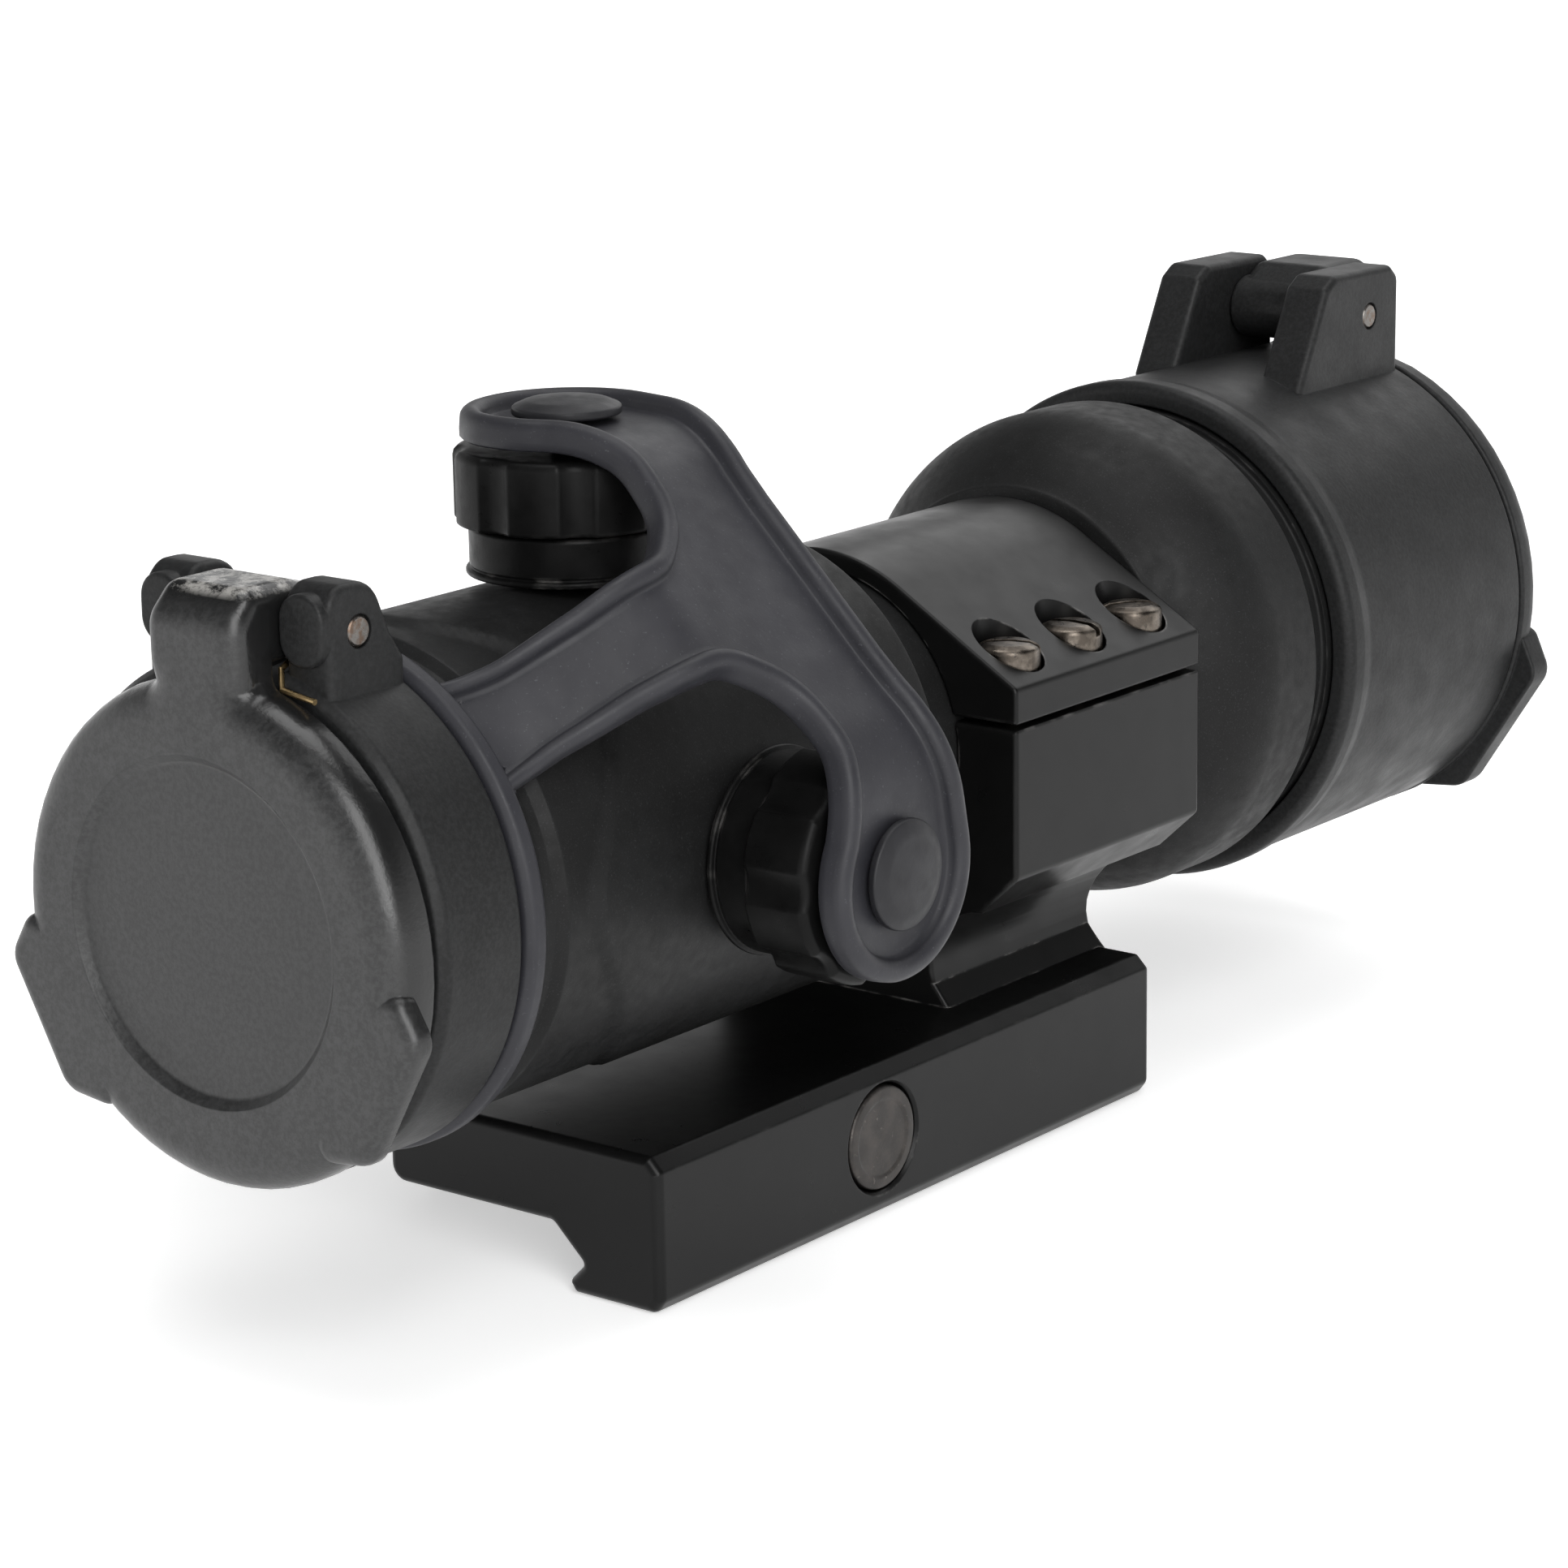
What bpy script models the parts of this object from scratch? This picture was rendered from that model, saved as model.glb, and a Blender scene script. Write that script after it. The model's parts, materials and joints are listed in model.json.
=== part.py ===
"""A 30 mm reflex sight with flip covers, held in a ring on a rail clamp.

+Y is forward (from the eye to the target), +X is the user's right, +Z is up. The origin is on the
seat that rests on the rail, under the middle of the base. Sizes are in millimetres.
"""

import math

import bmesh
import bpy
from mathutils import Matrix, Vector

MM = 0.001
GAP = 0.3  # play between touching pieces

# Heights and places along the tube
AXIS_Z = 30.9  # tube axis over the rail seat
TURRET_Y = -22.1  # elevation, windage and switch axes
COVER_REAR = -66.7  # outer face of the rear lid
COVER_FRONT = 99.6  # outer face of the front lid

# Base that clamps to the rail
BASE_HALF_Y = 35.8
BASE_LEFT = -10.4
BASE_RIGHT = 19.3
BASE_BOTTOM = -5.8
DECK_TOP = 7.6
RAIL_HALF_TOP = 7.9  # half width of the rail's flat top
RAIL_HALF = 10.9  # half width of the rail at its widest
HOOK_X = 9.2
BOLT_Y = -5.5
BOLT_Z = 1.2
JAW_HALF_Y = 16.0

# Ring that holds the tube
RING_REAR = 11.3
RING_FRONT = 40.4
RING_HALF_X = 21.5
RING_R = 16.9
SLOPE = math.radians(31)
SPLIT_LOW = 3.1  # top of the lower half, over the tube axis
SPLIT_HIGH = 3.6  # bottom of the upper half
BLOCK_LOW = -10.3  # lower end of the ring block's side
RISER_X = 12.1
SCREW_X = 17.2
SCREW_YS = (16.2, 25.8, 35.4)
SCREW_HEAD_R = 2.9

# Optical body
TUBE_R = 15.0
OCULAR_R = 19.1
BODY_R = 20.1
BELL_R = 23.4
GROOVE_Y = 57.7
BELL_END = 94.6
CHAMBER_R = 17.3
BORE_R = 13.4
CARRIER_R = 11.9
GIMBAL_Y = 49.8

# Adjusters, measured from the tube axis outwards
SEAT_H = 20.6
COLLAR_H = 24.9
COLLAR_R = 8.4
CAP_H = 31.4
CAP_R = 9.6
PAD_H = 33.6  # middle of the strap's pads
PAD_R = 9.9
BUTTON_R = 4.1
NOTCHES = 10

# Flip covers
REAR_R = 20.9
REAR_PIVOT = (-58.0, 23.4)  # along Y, and over the tube axis
FRONT_R = 24.3
FRONT_PIVOT = (89.0, 28.4)
EAR_IN = 5.0
EAR_OUT = 9.8
NECK_X = 4.4
PIN_R = 0.85
TAB_START = 10.0  # degrees below the horizontal
TAB_END = 46.0

# Strap, laid out on the surface that it bends to
FLAT = 9.6  # half width of the flat part over each cap
STRAP_HALF = 1.0
STRAP_Y = -51.3


def named_collection(name):
    found = bpy.data.collections.new(name)
    bpy.context.scene.collection.children.link(found)
    return found


for old in list(bpy.data.objects):
    bpy.data.objects.remove(old)
PARTS = named_collection("red_dot_sight")
CUTTERS = named_collection("cutters")


# ---------------------------------------------------------------- materials


def material(name, colour, roughness, metallic=0.0):
    made = bpy.data.materials.new(name)
    made.use_nodes = True
    shader = made.node_tree.nodes["Principled BSDF"]
    shader.inputs["Base Color"].default_value = (*colour, 1)
    shader.inputs["Roughness"].default_value = roughness
    shader.inputs["Metallic"].default_value = metallic
    made.diffuse_color = (*colour, 1)
    return made


ANODISED = material("anodised_body", (0.035, 0.035, 0.037), 0.5, 0.3)
SATIN = material("anodised_mount", (0.025, 0.025, 0.027), 0.35, 0.5)
PLASTIC = material("cover_plastic", (0.04, 0.04, 0.042), 0.45)
RUBBER = material("strap_rubber", (0.045, 0.046, 0.05), 0.7)
STEEL = material("screw_steel", (0.28, 0.25, 0.22), 0.35, 1.0)
DARK_STEEL = material("bolt_steel", (0.08, 0.078, 0.075), 0.4, 0.9)
BRASS = material("spring_wire", (0.45, 0.33, 0.18), 0.35, 1.0)
GLASS = material("lens_glass", (0.6, 0.5, 0.45), 0.05)
CELL = material("battery_case", (0.5, 0.5, 0.5), 0.35, 0.9)
BLACK = material("inner_black", (0.01, 0.01, 0.01), 0.8)


# ---------------------------------------------------------------- tools


def link(name, mesh, look, cutter=False):
    made = bpy.data.objects.new(name, mesh)
    if cutter:
        CUTTERS.objects.link(made)
        made.hide_render = True
        made.display_type = "WIRE"
        return made
    PARTS.objects.link(made)
    made.data.materials.append(look)
    return made


def on_axis(height):
    """A place over the tube axis, as a height over the rail seat."""
    return AXIS_Z + height


def turned(name, look, profile, axis="Y", centre=(0, 0, AXIS_Z), steps=40, cutter=False):
    """A solid of revolution. The profile is (along, radius), in either direction."""
    area = 0
    for (along_a, radius_a), (along_b, radius_b) in zip(profile, profile[1:] + profile[:1]):
        area += radius_a * along_b - radius_b * along_a
    if area > 0:
        profile = profile[::-1]
    mesh = bpy.data.meshes.new(name)
    points = [(radius * MM, 0, along * MM) for along, radius in profile]
    edges = [(k, k + 1) for k in range(len(points) - 1)]
    if all(radius > 0 for _, radius in profile):
        edges.append((len(points) - 1, 0))
    else:
        first = next(k for k in range(len(profile)) if profile[k][1] == 0 == profile[k - 1][1])
        points = points[first:] + points[:first]
    mesh.from_pydata(points, edges, [])
    made = link(name, mesh, look, cutter)
    made.location = [value * MM for value in centre]
    if axis == "Y":
        made.rotation_euler = (-math.pi / 2, 0, 0)
    if axis == "X":
        made.rotation_euler = (0, math.pi / 2, 0)
    screw = made.modifiers.new("turn", "SCREW")
    screw.steps = screw.render_steps = steps
    screw.use_merge_vertices = True
    screw.merge_threshold = 0.00001
    screw.use_smooth_shade = True
    return made


def rod(name, look, radius, low, high, axis, centre, steps=24, cutter=False):
    """A plain round bar from low to high along its axis."""
    mesh = bpy.data.meshes.new(name)
    form = bmesh.new()
    turn = {"X": Matrix.Rotation(math.pi / 2, 4, "Y"), "Y": Matrix.Rotation(-math.pi / 2, 4, "X")}
    middle = Matrix.Translation((0, 0, (low + high) / 2 * MM))
    bmesh.ops.create_cone(
        form,
        cap_ends=True,
        segments=steps,
        radius1=radius * MM,
        radius2=radius * MM,
        depth=(high - low) * MM,
        matrix=turn.get(axis, Matrix()) @ middle,
    )
    form.to_mesh(mesh)
    made = link(name, mesh, look, cutter)
    made.location = [value * MM for value in centre]
    return made


def block(name, look, low, high, cutter=False):
    mesh = bpy.data.meshes.new(name)
    form = bmesh.new()
    size = [(b - a) * MM for a, b in zip(low, high)]
    bmesh.ops.create_cube(form, size=1, matrix=Matrix.Diagonal((*size, 1)))
    form.to_mesh(mesh)
    made = link(name, mesh, look, cutter)
    made.location = [(a + b) / 2 * MM for a, b in zip(low, high)]
    return made


def arc(centre, radius, start, end, count):
    """Points on a circle, with the angles in degrees."""
    angles = [math.radians(start + (end - start) * k / count) for k in range(count + 1)]
    return [(centre[0] + radius * math.cos(a), centre[1] + radius * math.sin(a)) for a in angles]


LAID = {
    "X": Matrix(((0, 0, 1), (1, 0, 0), (0, 1, 0))).to_4x4(),
    "Y": Matrix(((1, 0, 0), (0, 0, -1), (0, 1, 0))).to_4x4(),
    "Z": Matrix.Identity(4),
}


def plate(name, look, outline, low, high, axis, cutter=False):
    """A flat outline with thickness, from low to high along its axis.

    The outline is in (Y, Z) for a plate across X, (X, Z) across Y and (X, Y) across Z.
    """
    curve = bpy.data.curves.new(name, "CURVE")
    curve.dimensions = "2D"
    curve.fill_mode = "BOTH"
    curve.extrude = (high - low) / 2 * MM
    spline = curve.splines.new("POLY")
    spline.points.add(len(outline) - 1)
    for point, (a, b) in zip(spline.points, outline):
        point.co = (a * MM, b * MM, 0, 1)
    spline.use_cyclic_u = True
    guide = bpy.data.objects.new(name + "_outline", curve)
    CUTTERS.objects.link(guide)
    graph = bpy.context.evaluated_depsgraph_get()
    mesh = bpy.data.meshes.new_from_object(guide.evaluated_get(graph))
    bpy.data.objects.remove(guide)
    form = bmesh.new()
    form.from_mesh(mesh)
    bmesh.ops.remove_doubles(form, verts=form.verts, dist=1e-6)
    bmesh.ops.recalc_face_normals(form, faces=form.faces)
    form.to_mesh(mesh)
    mesh.materials.clear()
    mesh.transform(LAID[axis])
    made = link(name, mesh, look, cutter)
    made.location["XYZ".index(axis)] = (low + high) / 2 * MM
    return made


def boolean(made, other, operation="DIFFERENCE"):
    step = made.modifiers.new(operation.lower(), "BOOLEAN")
    step.operation = operation
    step.object = other
    step.solver = "EXACT"
    return made


def bevel(made, width, segments=1, degrees=35):
    step = made.modifiers.new("edges", "BEVEL")
    step.width = width * MM
    step.segments = segments
    step.limit_method = "ANGLE"
    step.angle_limit = math.radians(degrees)
    return made


def baked(made):
    """Replaces an object's mesh with what its modifiers make of it."""
    graph = bpy.context.evaluated_depsgraph_get()
    mesh = bpy.data.meshes.new_from_object(made.evaluated_get(graph))
    made.modifiers.clear()
    made.data = mesh
    return made


def pivot(made, place):
    """Moves an object's origin to a point, and leaves the shape where it is."""
    bpy.context.view_layer.update()
    shift = Vector([value * MM for value in place])
    made.data.transform(Matrix.Translation(-shift) @ made.matrix_world)
    made.matrix_world = Matrix.Translation(shift)
    return made


def wire(name, look, points, radius):
    """A round wire through points in millimetres."""
    curve = bpy.data.curves.new(name, "CURVE")
    curve.dimensions = "3D"
    curve.bevel_depth = radius * MM
    curve.bevel_resolution = 1
    curve.use_fill_caps = True
    spline = curve.splines.new("POLY")
    spline.points.add(len(points) - 1)
    for point, place in zip(spline.points, points):
        point.co = (*[value * MM for value in place], 1)
    made = bpy.data.objects.new(name, curve)
    PARTS.objects.link(made)
    curve.materials.append(look)
    return made


# ---------------------------------------------------------------- base and ring


def deck_outline():
    """The base's end view: deck, and the fixed hook that reaches under the rail's right side."""
    return [
        (BASE_LEFT, 1.2),
        (BASE_LEFT + 1.2, 0),
        (RAIL_HALF_TOP - 0.6, 0),
        (RAIL_HALF_TOP + 0.3, -0.3),
        (RAIL_HALF, -RAIL_HALF + RAIL_HALF_TOP),
        (RAIL_HALF, -3.4),
        (HOOK_X, -5.0),
        (HOOK_X + 0.5, BASE_BOTTOM),
        (BASE_RIGHT - 1.0, BASE_BOTTOM),
        (BASE_RIGHT, BASE_BOTTOM + 0.8),
        (BASE_RIGHT, DECK_TOP - 1.1),
        (BASE_RIGHT - 1.1, DECK_TOP),
        (BASE_LEFT + 0.6, DECK_TOP),
        (BASE_LEFT, DECK_TOP - 0.6),
    ]


def saddle_half():
    """The right half of the riser and the ring's lower half, from the deck up."""
    undercut = 5.4
    centre = (RISER_X + undercut, on_axis(BLOCK_LOW) - 3.7 - undercut)
    neck = arc(centre, undercut, 200, 90, 5)
    return [(RISER_X + 1.2, DECK_TOP - 0.5)] + neck + [
        (RING_HALF_X, on_axis(BLOCK_LOW)),
        (RING_HALF_X, on_axis(SPLIT_LOW)),
    ]


def make_base():
    base = plate("mount_base", SATIN, deck_outline(), -BASE_HALF_Y, BASE_HALF_Y, "Y")
    right = saddle_half()
    left = [(-x, z) for x, z in reversed(right)]
    saddle = plate("saddle", None, right + left, RING_REAR, RING_FRONT, "Y", cutter=True)
    boolean(base, saddle, "UNION")
    bore = rod("ring_bore", None, TUBE_R + GAP, RING_REAR - 9, RING_FRONT + 9, "Y",
               (0, 0, AXIS_Z), steps=40, cutter=True)
    boolean(base, bore)
    shaft = rod("bolt_hole", None, 2.7, BASE_LEFT - 9, BASE_RIGHT + 9, "X",
                (0, BOLT_Y, BOLT_Z), cutter=True)
    boolean(base, shaft)
    pocket = rod("bolt_pocket", None, 4.9, BASE_RIGHT - 5, BASE_RIGHT + 5, "X",
                 (0, BOLT_Y, BOLT_Z), steps=32, cutter=True)
    boolean(base, pocket)
    for side in (-1, 1):
        for place in SCREW_YS:
            hole = rod("thread_hole", None, 1.6, on_axis(-5.5), on_axis(9), "Z",
                       (side * SCREW_X, place, 0), steps=16, cutter=True)
            boolean(base, hole)


def ring_top_half():
    """The right half of the ring's upper half: round on top, then a flat slope to the flange."""
    edge = (RING_R - RING_HALF_X * math.sin(SLOPE)) / math.cos(SLOPE)
    crown = arc((0, 0), RING_R, 90 - math.degrees(SLOPE), 90, 5)
    outer = [(RING_HALF_X, SPLIT_HIGH), (RING_HALF_X, edge)] + crown
    return [(x, on_axis(z)) for x, z in outer]


def make_ring_top():
    right = ring_top_half()
    left = [(-x, z) for x, z in reversed(right[:-1])]
    ring = plate("ring_top", SATIN, right + left, RING_REAR, RING_FRONT, "Y")
    bore = rod("ring_top_bore", None, TUBE_R + GAP, RING_REAR - 9, RING_FRONT + 9, "Y",
               (0, 0, AXIS_Z), steps=40, cutter=True)
    boolean(ring, bore)
    for side in (-1, 1):
        for place in SCREW_YS:
            centre = (side * SCREW_X, place, 0)
            shank = rod("clearance_hole", None, 1.6, on_axis(0), on_axis(9), "Z", centre,
                        steps=16, cutter=True)
            boolean(ring, shank)
            sink = rod("counterbore", None, SCREW_HEAD_R + GAP, on_axis(6.2), on_axis(14), "Z",
                       centre, steps=20, cutter=True)
            boolean(ring, sink)


def make_ring_screws():
    number = 0
    for side in (1, -1):
        for place in SCREW_YS:
            number += 1
            profile = [
                (on_axis(-5.2), 0),
                (on_axis(-5.2), 1.3),
                (on_axis(6.5), 1.3),
                (on_axis(6.5), SCREW_HEAD_R),
                (on_axis(9.4), SCREW_HEAD_R),
                (on_axis(10.0), SCREW_HEAD_R - 0.7),
                (on_axis(10.0), 0),
            ]
            name = "ring_screw_%d" % number
            screw = turned(name, STEEL, profile, "Z", (side * SCREW_X, place, 0), steps=16)
            slot = block(name + "_slot", None,
                         (side * SCREW_X - 0.45, place - 4, on_axis(9.0)),
                         (side * SCREW_X + 0.45, place + 4, on_axis(12)), cutter=True)
            boolean(screw, slot)


def make_clamp():
    """The cross bolt, the jaw on the left and the knob that draws them together."""
    knob_in = BASE_LEFT - 8.0
    profile = [
        (BASE_RIGHT - 4.6, 0),
        (BASE_RIGHT - 4.6, 4.6),
        (BASE_RIGHT - 0.3, 4.6),
        (BASE_RIGHT, 4.3),
        (BASE_RIGHT, 0),
    ]
    head = turned("cross_bolt", DARK_STEEL, profile, "X", (0, BOLT_Y, BOLT_Z), steps=28)
    shank = rod("bolt_shank", None, 2.3, knob_in - 8.5, BASE_RIGHT - 3, "X",
                (0, BOLT_Y, BOLT_Z), steps=20, cutter=True)
    boolean(head, shank, "UNION")
    outer = BASE_LEFT - 7.6
    outline = [
        (BASE_LEFT - GAP, DECK_TOP - 1.0),
        (BASE_LEFT - GAP, 0.6),
        (-RAIL_HALF - 0.1, -0.4),
        (-RAIL_HALF - 0.1, -3.4),
        (-HOOK_X - 0.2, -5.0),
        (-HOOK_X - 0.7, BASE_BOTTOM),
        (outer + 1.2, BASE_BOTTOM),
        (outer, BASE_BOTTOM + 1.2),
        (outer, DECK_TOP - 2.2),
        (outer + 1.2, DECK_TOP - 1.0),
    ]
    jaw = plate("clamp_jaw", SATIN, outline, BOLT_Y - JAW_HALF_Y, BOLT_Y + JAW_HALF_Y, "Y")
    hole = rod("jaw_hole", None, 2.7, outer - 5, BASE_LEFT + 5, "X", (0, BOLT_Y, BOLT_Z),
               steps=20, cutter=True)
    boolean(jaw, hole)
    radius = 6.2
    knurls = 16
    outline = []
    for k in range(knurls * 2):
        angle = math.pi * k / knurls
        reach = radius if k % 2 else radius - 0.5
        outline.append((BOLT_Y + reach * math.cos(angle), BOLT_Z + reach * math.sin(angle)))
    knob = plate("clamp_knob", SATIN, outline, knob_in - 7.4, knob_in + GAP / 2, "X")
    bore = rod("knob_bore", None, 2.6, knob_in - 20, knob_in + 9, "X", (0, BOLT_Y, BOLT_Z),
               steps=20, cutter=True)
    boolean(knob, bore)
    coin = block("knob_slot", None, (knob_in - 20, BOLT_Y - 9, BOLT_Z - 0.7),
                 (knob_in - 5.9, BOLT_Y + 9, BOLT_Z + 0.7), cutter=True)
    boolean(knob, coin)
    baked(knob)
    pivot(knob, (knob_in, BOLT_Y, BOLT_Z))


# ---------------------------------------------------------------- optical body


def make_housing():
    outside = [
        (-61.6, 18.4),
        (-52.6, 18.4),
        (-52.6, OCULAR_R),
        (-46.1, OCULAR_R),
        (-44.6, BODY_R),
        (1.0, BODY_R),
        (2.6, BODY_R - 1.0),
        (2.6, TUBE_R),
        (41.0, TUBE_R),
        (41.4, 17.6),
        (43.0, 19.3),
        (46.0, 21.2),
        (50.0, 22.7),
        (53.5, BELL_R),
        (GROOVE_Y, BELL_R),
    ]
    inside = [
        (GROOVE_Y, 20.6),
        (51.5, 20.6),
        (51.5, CHAMBER_R),
        (46.6, CHAMBER_R),
        (45.0, BORE_R),
        (-1.0, BORE_R),
        (-1.0, CHAMBER_R),
        (-46.0, CHAMBER_R),
        (-46.0, 15.0),
        (-50.0, 15.0),
        (-50.0, 17.0),
        (-61.6, 17.0),
    ]
    body = turned("sight_housing", ANODISED, outside + inside, steps=44)
    for name, axis, side in (("top", "Z", 1), ("right", "X", 1), ("left", "X", -1)):
        centre = (0, TURRET_Y, 0) if axis == "Z" else (0, TURRET_Y, AXIS_Z)
        middle = AXIS_Z if axis == "Z" else 0
        low, high = sorted((middle + side * (CHAMBER_R + 0.5), middle + side * SEAT_H))
        boss = rod(name + "_boss", None, 9.0, low, high, axis, centre, steps=28, cutter=True)
        boolean(body, boss, "UNION")
        low, high = sorted((middle + side * 8, middle + side * 26))
        hole_r = 6.4 if name == "left" else 5.2
        hole = rod(name + "_hole", None, hole_r, low, high, axis, centre, cutter=True)
        boolean(body, hole)
    for side in (-1, 1):
        seat = rod("trunnion_seat", None, 1.2, side * 18 - 2.0, side * 18 + 2.0, "X",
                   (0, GIMBAL_Y, AXIS_Z), steps=12, cutter=True)
        boolean(body, seat)


def make_bell():
    profile = [
        (GROOVE_Y - 4.0, 20.3),
        (GROOVE_Y + 0.1, 20.3),
        (GROOVE_Y + 0.1, BELL_R - 0.5),
        (GROOVE_Y + 0.7, BELL_R - 0.5),
        (GROOVE_Y + 0.7, BELL_R),
        (61.6, BELL_R),
        (61.6, BELL_R - 1.3),
        (BELL_END, BELL_R - 1.3),
        (BELL_END, 20.6),
        (84.0, 20.6),
        (84.0, 18.6),
        (GROOVE_Y - 4.0, 18.6),
    ]
    turned("objective_bell", ANODISED, profile, steps=44)


def make_glass():
    window = [(-57.6, 0), (-57.6, 16.7), (-55.2, 16.7), (-55.2, 0)]
    turned("ocular_window", GLASS, window, steps=32)
    ring = [(-61.2, 15.2), (-61.2, 16.7), (-57.9, 16.7), (-57.9, 15.2)]
    turned("ocular_retainer", BLACK, ring, steps=32)
    front = [
        (88.6, 0),
        (87.9, 10.0),
        (86.4, 19.4),
        (86.4, 20.3),
        (84.3, 20.3),
        (84.3, 0),
    ]
    turned("objective_lens", GLASS, front, steps=32)
    ring = [(89.0, 18.8), (89.0, 20.3), (93.0, 20.3), (93.0, 18.8)]
    turned("objective_retainer", BLACK, ring, steps=32)


def make_carrier():
    """The inner tube, the gimbal that it tilts in, its lens and its light source."""
    tube = turned("inner_tube", BLACK, [
        (-44.0, 10.8), (-44.0, CARRIER_R), (55.0, CARRIER_R), (55.0, 10.0), (50.6, 10.0),
        (50.6, 10.8),
    ], centre=(0, 0, AXIS_Z), steps=28)
    for side in (-1, 1):
        stub = rod("carrier_stub", None, 0.9, AXIS_Z + side * 13.1 - 1.6,
                   AXIS_Z + side * 13.1 + 1.6, "Z", (0, GIMBAL_Y, 0), steps=10, cutter=True)
        boolean(tube, stub, "UNION")
    port = block("light_port", None, (-4.0, -40.0, on_axis(-13)), (4.0, -30.0, on_axis(-8)),
                 cutter=True)
    boolean(tube, port)
    baked(tube)
    pivot(tube, (0, GIMBAL_Y, AXIS_Z))
    ring = turned("gimbal_ring", BLACK, [
        (GIMBAL_Y - 2, 13.2), (GIMBAL_Y - 2, 15.4), (GIMBAL_Y + 1.6, 15.4), (GIMBAL_Y + 1.6, 13.2),
    ], steps=28)
    for side in (-1, 1):
        hole = rod("stub_hole", None, 1.2, AXIS_Z + side * 14 - 3, AXIS_Z + side * 14 + 3, "Z",
                   (0, GIMBAL_Y, 0), steps=10, cutter=True)
        boolean(ring, hole)
        stub = rod("trunnion", None, 0.9, side * 16.7 - 1.8, side * 16.7 + 1.8, "X",
                   (0, GIMBAL_Y, AXIS_Z), steps=10, cutter=True)
        boolean(ring, stub, "UNION")
    baked(ring)
    pivot(ring, (0, GIMBAL_Y, AXIS_Z))
    lens = turned("reflector_lens", GLASS, [
        (46.6, 0), (47.2, 6.0), (48.6, 10.5), (50.3, 10.5), (49.0, 6.0), (48.4, 0),
    ], steps=24)
    pivot(baked(lens), (0, GIMBAL_Y, AXIS_Z))
    emitter = block("emitter_block", BLACK, (-3.6, -39.6, on_axis(-12.6)),
                    (3.6, -30.4, on_axis(-8.2)))
    nose = rod("light_source", None, 1.1, -31, -28.6, "Y", (0, 0, on_axis(-9.5)), steps=12,
               cutter=True)
    boolean(emitter, nose, "UNION")
    pivot(baked(emitter), (0, GIMBAL_Y, AXIS_Z))


def make_tube_spring():
    """A bent leaf that pushes the inner tube up and to the right, against the adjusters."""
    half = 0.25
    rest = CARRIER_R + GAP + half
    stand = CHAMBER_R - 1.5 * GAP - half
    middle = 225
    line = arc((0, AXIS_Z), stand, middle - 46, middle - 40, 1)
    line += arc((0, AXIS_Z), rest, middle - 20, middle + 20, 5)
    line += arc((0, AXIS_Z), stand, middle + 40, middle + 46, 1)
    sides = ([], [])
    for k, (x, z) in enumerate(line):
        ahead = Vector(line[min(k + 1, len(line) - 1)])
        behind = Vector(line[max(k - 1, 0)])
        run = (ahead - behind).normalized()
        sides[0].append((x - run.y * half, z + run.x * half))
        sides[1].append((x + run.y * half, z - run.x * half))
    plate("tube_spring", BRASS, sides[1] + sides[0][::-1], TURRET_Y - 4, TURRET_Y + 4, "Y")


# ---------------------------------------------------------------- adjusters


def placed(axis):
    """The frame of an adjuster: which screw axis it turns on, and where that axis starts."""
    if axis == "Z":
        return "Z", (0, TURRET_Y, AXIS_Z)
    return "X", (0, TURRET_Y, AXIS_Z)


def make_collar(name, axis):
    screw_axis, centre = placed(axis)
    profile = [
        (SEAT_H + GAP, 3.4),
        (SEAT_H + GAP, COLLAR_R + 0.3),
        (SEAT_H + 0.8, COLLAR_R + 0.3),
        (SEAT_H + 0.8, COLLAR_R),
        (COLLAR_H, COLLAR_R),
        (COLLAR_H, 6.4),
        (COLLAR_H + 4.0, 6.4),
        (COLLAR_H + 4.0, 3.4),
    ]
    turned(name + "_collar", ANODISED, profile, screw_axis, centre, steps=32)


def cap_outline():
    """A circle with round notches, as (across, along) about its own centre."""
    notch_r = 2.1
    centre_r = CAP_R + 1.3
    half = math.acos((CAP_R**2 + centre_r**2 - notch_r**2) / (2 * CAP_R * centre_r))
    points = []
    for k in range(NOTCHES):
        middle = 2 * math.pi * k / NOTCHES
        points.append((CAP_R * math.cos(middle - half), CAP_R * math.sin(middle - half)))
        floor = centre_r - notch_r
        points.append((floor * math.cos(middle), floor * math.sin(middle)))
        points.append((CAP_R * math.cos(middle + half), CAP_R * math.sin(middle + half)))
        land = middle + math.pi / NOTCHES
        points.append((CAP_R * math.cos(land), CAP_R * math.sin(land)))
    return points


def make_cap(name, axis):
    screw_axis, centre = placed(axis)
    start = COLLAR_H + GAP
    if axis == "Z":
        outline = [(x, TURRET_Y + y) for x, y in cap_outline()]
        low, high = AXIS_Z + start, AXIS_Z + CAP_H
        place = (0, TURRET_Y, AXIS_Z + start)
    else:
        outline = [(TURRET_Y + x, AXIS_Z + y) for x, y in cap_outline()]
        low, high = start, CAP_H
        place = (start, TURRET_Y, AXIS_Z)
    cap = plate(name + "_cap", ANODISED, outline, low, high, axis)
    hollow = turned(name + "_cap_hollow", None, [
        (start - 2, 0), (start - 2, 6.8), (CAP_H - 1.7, 6.8), (CAP_H - 1.7, 1.9),
        (CAP_H + 2, 1.9), (CAP_H + 2, 0),
    ], screw_axis, centre, steps=24, cutter=True)
    boolean(cap, hollow)
    baked(cap)
    pivot(cap, place)


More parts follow.
